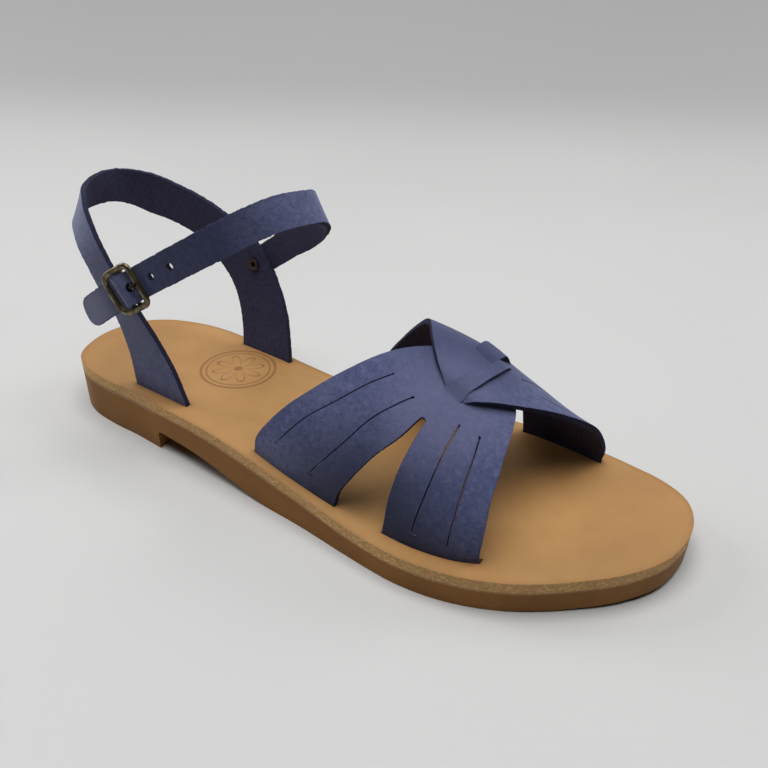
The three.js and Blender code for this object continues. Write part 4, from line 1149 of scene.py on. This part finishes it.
def all_slots():
    slots = [heel_slot(0), heel_slot(HEEL.length)]
    for row, mirrored in ((OUTER_HALF[0], False), (INNER_HALF[0], True)):
        slots.append(wing_slot(row, mirrored, "rear", "ventRear"))
        slots.append(wing_slot(row, mirrored, "ventFront", "front"))
    return [[Vector((p.x + HEEL_SEAT_X, p.y, 0)) for p in slot] for slot in slots]


# %% Cut out the insole
def draw_loop(bm, points):
    verts = [bm.verts.new(point) for point in points]
    return [bm.edges.new((a, b)) for a, b in zip(verts, verts[1:] + verts[:1])]


def slice_at(bm, at, direction):
    geom = bm.verts[:] + bm.edges[:] + bm.faces[:]
    bmesh.ops.bisect_plane(bm, geom=geom, dist=1e-4, plane_co=at, plane_no=direction)


def slice_sheet(bm):
    for i in range(1, int(SOLE_LENGTH / SHEET_STEP) + 1):
        slice_at(bm, (i * SHEET_STEP, 0, 0), (1, 0, 0))
    for i in range(-5, 6):
        slice_at(bm, (0, (i + 0.5) * 2 * SHEET_STEP, 0), (0, 1, 0))


def flat_sole(loops, thickness):
    bm = bmesh.new()
    edges = [edge for points in loops for edge in draw_loop(bm, points)]
    bmesh.ops.triangle_fill(bm, use_beauty=True, use_dissolve=False, edges=edges)
    bmesh.ops.recalc_face_normals(bm, faces=bm.faces)
    if bm.faces[0].normal.z < 0:
        bmesh.ops.reverse_faces(bm, faces=bm.faces)
    bmesh.ops.inset_region(
        bm, faces=bm.faces[:], thickness=RIM_WIDTH, use_even_offset=True, use_boundary=True
    )
    slice_sheet(bm)
    mark_cut_edge(bm)
    grown = bmesh.ops.extrude_face_region(bm, geom=bm.faces[:])
    raised = only(bmesh.types.BMVert, grown["geom"])
    bmesh.ops.translate(bm, vec=(0, 0, thickness), verts=raised)
    return bm


def outer_rim(bm, level):
    """The edges of the outline at one level, without those of the slots."""
    found = []
    for edge in bm.edges:
        if all(abs(v.co.z - level) < 1e-4 for v in edge.verts) and len(edge.link_faces) == 2:
            slope = [abs(face.normal.z) for face in edge.link_faces]
            if max(slope) > 0.9 and min(slope) < 0.1:
                middle = (edge.verts[0].co + edge.verts[1].co) / 2
                if min((middle - point).length for point in OUTLINE) < 2:
                    found.append(edge)
    return found


OUTLINE = sole_outline()


def make_insole():
    bm = flat_sole([OUTLINE, *all_slots()], INSOLE_THICK)
    bmesh.ops.bevel(
        bm,
        geom=outer_rim(bm, INSOLE_THICK),
        offset=1.0,
        offset_type="OFFSET",
        segments=4,
        profile=0.5,
        affect="EDGES",
        material=-1,
        clamp_overlap=True,
    )
    for v in bm.verts:
        v.co.z += insole_top(v.co.x) - INSOLE_THICK
        v.co.x -= HEEL_SEAT_X
    for face in bm.faces:
        face.material_index = 1 if abs(face.normal.z) < 0.3 else 0
    return bm


insole_finish = [INSOLE_GRAIN, INSOLE_EDGE]
insole_piece = finish_piece("insole_leather", make_insole(), insole_finish, ["insole"])
print("insole faces:", len(insole_piece.data.polygons))


# %% Cut out the sole
def arch_profile(steps=24):
    span = ARCH_END_X - HEEL_BREAST_X
    start, end = HEEL_BREAST_X + 2, ARCH_END_X
    spots = []
    for i in range(steps + 1):
        t = i / steps
        keep = 1 - t
        x = (
            keep**3 * start
            + 3 * keep * keep * t * (HEEL_BREAST_X + 0.55 * span)
            + 3 * keep * t * t * (HEEL_BREAST_X + 0.7 * span)
            + t**3 * end
        )
        z = ARCH_RISE * (keep**3 + 3 * keep * keep * t)
        spots.append({"x": x, "z": z})
    return [{"x": HEEL_BREAST_X + 0.6, "z": ARCH_RISE - 0.4}, *spots]


ARCH = arch_profile()


def underside(x):
    if x <= HEEL_BREAST_X + 0.05:
        return toe_spring(x)
    if x < ARCH_END_X:
        if x < ARCH[0]["x"]:
            return ARCH[0]["z"] - 0.6 * (ARCH[0]["x"] - x)
        return reading(ARCH, "z", x)
    return toe_spring(x)


def make_outsole():
    bm = flat_sole([OUTLINE], 1)
    for x in (HEEL_BREAST_X, HEEL_BREAST_X + 0.1, HEEL_BREAST_X + 0.6, ARCH_END_X):
        slice_at(bm, (x, 0, 0), (1, 0, 0))
    wall_height = bm.verts.layers.float.new("wall_height")
    for v in bm.verts:
        v[wall_height] = 1 if v.co.z > 0.5 else 0
        x = v.co.x
        top = insole_top(x) - INSOLE_THICK - 0.05
        v.co.z = top if v.co.z > 0.5 else underside(x)
        v.co.x -= HEEL_SEAT_X
    return bm


sole_piece = finish_piece("moulded_sole", make_outsole(), [SOLE_RUBBER], ["outsole"])
soften(sole_piece, 0.8, 3, 50)
print("sole faces:", len(sole_piece.data.polygons))

# %% [markdown]
# ## The keeper of the buckle
# A thin leather tab is folded round the middle bar and sewn to the outer leg. It is a strip along a
# path in the buckle's own frame: along the leg, round the bar and back. The middle of the fold is
# cut away so that the prong can turn.

# %% Fold the keeper
KEEPER_TAIL = 16
KEEPER_BEND = 8
KEEPER_TO_LEG = 8.9
KEEPER_WIDTH = 0.8 * ANKLE_WIDTH
PRONG_ROOM = PRONG_DIAMETER + 3 * CLEARANCE


def round_bar(radius, first, last, steps):
    turns = [math.radians(mixed(first, last, i / steps)) for i in range(steps + 1)]
    return [Vector((radius * math.cos(a), 0, radius * math.sin(a) - BAR_DROP)) for a in turns]


def along_path(path, t):
    at = t * (len(path) - 1)
    i = min(int(at), len(path) - 2)
    return path[i].lerp(path[i + 1], at - i)


def fold_keeper():
    fold = round_bar(LOOP_INNER + LOOP_WALL / 2, -90, 210, 24)
    path = [
        Vector((-KEEPER_TAIL, 0, -KEEPER_TO_LEG + 0.5 * LOOP_WALL)),
        Vector((-KEEPER_BEND, 0, -KEEPER_TO_LEG + 0.9 * LOOP_WALL)),
        *fold,
        Vector((-KEEPER_BEND, 0, -KEEPER_TO_LEG + 1.9 * LOOP_WALL)),
        Vector((-KEEPER_TAIL, 0, -KEEPER_TO_LEG + 1.6 * LOOP_WALL)),
    ]
    bm = flat_grid(16, len(path) * 4 - 4)
    for v in bm.verts:
        across = v.co.x * KEEPER_WIDTH
        v.co = along_path(path, v.co.y + 0.5)
        v.co.y = across
    middle = Vector((0, 0, -BAR_DROP))
    open_faces = []
    for face in bm.faces:
        at = face.calc_center_median()
        if abs(at.y) < PRONG_ROOM / 2 and (Vector((at.x, 0, at.z)) - middle).length < LOOP_OUTER:
            open_faces.append(face)
    bmesh.ops.delete(bm, geom=open_faces, context="FACES")
    mark_cut_edge(bm, 1.0)
    bmesh.ops.reverse_faces(bm, faces=bm.faces)
    bmesh.ops.transform(bm, matrix=BUCKLE, verts=bm.verts)
    return bm


leather_piece("buckle_keeper", fold_keeper(), "back_strap", LOOP_WALL, 0, 0.2)

# %% [markdown]
# ## The metal
# The frame is cast: an oval section carried round a rounded rectangle, with a middle bar on two
# short posts behind it. The prong is wire, bent round the middle bar. Both are a tube along a flat
# path, so one function bends a grid into a tube. The eyelet is a profile spun round its axis.


# %% Tubes along a flat path
def tube(path, plane_normal, wide, high, sides=16, closed=False):
    count = len(path) if closed else len(path) - 1
    bm = flat_grid(count, sides)
    for v in bm.verts:
        i = round((v.co.x + 0.5) * count)
        turn = 2 * math.pi * (v.co.y + 0.5)
        if closed:
            ahead = path[(i + 1) % count] - path[i - 1 if i < count else count - 1]
            at = path[i % count]
        else:
            ahead = path[min(i + 1, count)] - path[max(i - 1, 0)]
            at = path[i]
        side = ahead.cross(plane_normal).normalized()
        v.co = at + side * wide * math.cos(turn) + plane_normal * high * math.sin(turn)
    bmesh.ops.remove_doubles(bm, verts=bm.verts, dist=1e-3)
    if not closed:
        bmesh.ops.holes_fill(bm, edges=[edge for edge in bm.edges if edge.is_boundary], sides=sides)
    bmesh.ops.recalc_face_normals(bm, faces=bm.faces)
    return bm


def add_in(bm, other):
    scratch = bpy.data.meshes.new("joined")
    other.to_mesh(scratch)
    other.free()
    bm.from_mesh(scratch)
    bpy.data.meshes.remove(scratch)


# %% Cast the frame
RAIL_Y = (BUCKLE_INSIDE + BUCKLE_WIRE) / 2
CORNER = BUCKLE_CORNER - BUCKLE_WIRE / 2


def rounded_rectangle(half_length, half_width, front_corner, rear_corner):
    path = []
    for quarter, (sx, sy) in enumerate(((1, 1), (-1, 1), (-1, -1), (1, -1))):
        corner = front_corner if sx > 0 else rear_corner
        centre = Vector((sx * (half_length - corner), sy * (half_width - corner), 0))
        for i in range(9):
            turn = math.pi / 2 * (quarter + i / 8)
            path.append(centre + corner * Vector((math.cos(turn), math.sin(turn), 0)))
    return path


def cast_frame():
    outline = rounded_rectangle(SIDE_BAR, RAIL_Y, CORNER, 1.9 * CORNER)
    bm = tube(outline, Vector((0, 0, 1)), BUCKLE_WIRE * 0.6, BUCKLE_WIRE / 2 * 0.95, 20, True)
    bar = [Vector((0, mixed(-RAIL_Y, RAIL_Y, i / 10), -BAR_DROP)) for i in range(11)]
    add_in(bm, tube(bar, Vector((1, 0, 0)), BAR_DIAMETER / 2, BAR_DIAMETER / 2))
    for side in (-1, 1):
        post = [Vector((0, side * RAIL_Y, -z / 6 * (BAR_DROP + BAR_DIAMETER / 2))) for z in range(7)]
        add_in(bm, tube(post, Vector((1, 0, 0)), BUCKLE_WIRE * 0.4, BAR_DIAMETER / 2))
    bmesh.ops.transform(bm, matrix=BUCKLE, verts=bm.verts)
    return bm


frame_piece = finish_piece("cast_frame", cast_frame(), [OLD_BRASS], ["buckle_frame"])


# %% Bend the prong
def bend_prong():
    wire = PRONG_DIAMETER / 2
    rest = BUCKLE_WIRE / 2 + CLEARANCE + wire
    loop = round_bar(LOOP_INNER + 0.7 * wire, 420, 78, 30)
    knots = [
        loop[-1],
        Vector((SIDE_BAR - 3, 0, rest - 0.9)),
        Vector((SIDE_BAR - 1, 0, rest + 0.05)),
        Vector((SIDE_BAR + BUCKLE_WIRE / 2, 0, rest)),
    ]
    path = loop + [spline(knots, i / 16) for i in range(1, 17)]
    bm = tube(path, Vector((0, 1, 0)), 0.7 * wire, wire, 12)
    bmesh.ops.transform(bm, matrix=BUCKLE, verts=bm.verts)
    return bm


prong_piece = finish_piece("bent_prong", bend_prong(), [DARK_BRASS], ["buckle_prong"])
soften(prong_piece, 0.3, 3)


# %% Turn the eyelet
def turn_eyelet():
    inside = -ANKLE_WALL / 2 - STRAP_WALL - 3.5 * CLEARANCE
    outside = ANKLE_WALL / 2 + CLEARANCE
    bore, tube_radius, flange = EYELET_BORE / 2, EYELET_TUBE / 2, EYELET_FLANGE / 2
    profile = [
        (bore, inside - EYELET_FLANGE_THICK),
        (flange, inside - EYELET_FLANGE_THICK),
        (flange, inside),
        (tube_radius, inside),
        (tube_radius, outside),
        (flange, outside),
        (flange, outside + EYELET_FLANGE_THICK),
        (bore, outside + EYELET_FLANGE_THICK),
    ]
    bm = bmesh.new()
    edges = draw_loop(bm, [Vector((r, 0, z)) for r, z in profile])
    around = {"cent": (0, 0, 0), "axis": (0, 0, 1), "angle": 2 * math.pi, "steps": 40}
    bmesh.ops.spin(bm, geom=edges + bm.verts[:], use_merge=True, **around)
    bmesh.ops.recalc_face_normals(bm, faces=bm.faces)
    middle = ANKLE.point(EYELET_FROM_END, 0.5)
    out = ANKLE.point(EYELET_FROM_END, 0.5, 1) - middle
    stand = Matrix.Translation(middle) @ out.to_track_quat("Z", "Y").to_matrix().to_4x4()
    bmesh.ops.transform(bm, matrix=stand, verts=bm.verts)
    return bm


eyelet_piece = finish_piece("turned_eyelet", turn_eyelet(), [DARK_BRASS], ["eyelet"])
soften(eyelet_piece, 0.18)
print("metal faces:", [len(piece.data.polygons) for piece in (frame_piece, prong_piece, eyelet_piece)])


# %% [markdown]
# ## Floor and light
# The photograph was taken on a white sweep in a light tent. Three large soft lights do the same,
# one above, a strong one at the left and a weak one at the right, with a faint even world.

# %% Floor
def floor_paper():
    made, tree, shader, at = new_material("floor_paper")
    tone = patches(tree, at, 3, 0.3, 0.7)
    colour = blend(tree, tone, (0.5, 0.5, 0.497), (0.52, 0.52, 0.517))
    # Painted shade: the paper is darker the higher it rises, where the sweep curves up away from the
    # lamps.
    height = add(tree, "SeparateXYZ", {0: at}).outputs[2]
    colour = blend(tree, spread(tree, height, 0, 0.06, 0, 1), colour, (0.39, 0.39, 0.388))
    dress(tree, shader, colour, tone, (0, 1, 0.6, 0.65), Specular_IOR_Level=0.2)
    return made


COVE_FROM_CAMERA = 0.6
COVE_RADIUS = 0.3
SWEEP_REACH = 3
WALL_HEIGHT = 0.8


def pale_sweep():
    ahead = Vector((-math.sin(AZIMUTH), math.cos(AZIMUTH), 0))
    aside = Vector((ahead.y, -ahead.x, 0))
    foot = Vector((CAMERA_AT.x, CAMERA_AT.y, 0)) + ahead * COVE_FROM_CAMERA
    bm = bmesh.new()
    ends = [bm.verts.new(foot + aside * side * SWEEP_REACH) for side in (-1, 1)]
    fold = bm.edges.new(ends)
    floor = bmesh.ops.extrude_edge_only(bm, edges=[fold])["geom"]
    near = only(bmesh.types.BMVert, floor)
    bmesh.ops.translate(bm, vec=-ahead * SWEEP_REACH, verts=near)
    cove = bmesh.ops.spin(
        bm,
        geom=[fold, *ends],
        cent=foot + Vector((0, 0, COVE_RADIUS)),
        axis=aside,
        angle=math.radians(90),
        steps=32,
    )["geom_last"]
    last_edge = only(bmesh.types.BMEdge, cove)
    wall = bmesh.ops.extrude_edge_only(bm, edges=last_edge)["geom"]
    top = only(bmesh.types.BMVert, wall)
    bmesh.ops.translate(bm, vec=(0, 0, WALL_HEIGHT), verts=top)
    bmesh.ops.recalc_face_normals(bm, faces=bm.faces)
    made = new_object("studio_sweep", bm)
    made.data.materials.append(floor_paper())
    return made


sweep = pale_sweep()
print("sweep:", [round(number, 2) for number in sweep.dimensions])


# %% Lights
LIGHT_AIM = Vector((0.08, 0, 0.03))


def softbox(name, at, size, power):
    data = bpy.data.lights.new(name, "AREA")
    data.shape = "DISK"
    data.size = size
    data.energy = power
    made = bpy.data.objects.new(name, data)
    made.location = at
    made.rotation_euler = (LIGHT_AIM - Vector(at)).to_track_quat("-Z", "Y").to_euler()
    bpy.context.scene.collection.objects.link(made)


softbox("tent_top", (0.1, -0.05, 0.9), 0.8, 8.9)
softbox("tent_left", (-1.1, 0.1, 0.6), 0.8, 15)
softbox("tent_right", (0.6, 0.8, 0.6), 0.7, 4.4)
world = bpy.data.worlds.new("pale_room")
world.use_nodes = True
sky = world.node_tree.nodes["Background"].inputs
sky["Color"].default_value = (0.9, 0.92, 0.95, 1)
sky["Strength"].default_value = 0.02
bpy.context.scene.world = world
bpy.context.scene.view_settings.view_transform = "Standard"
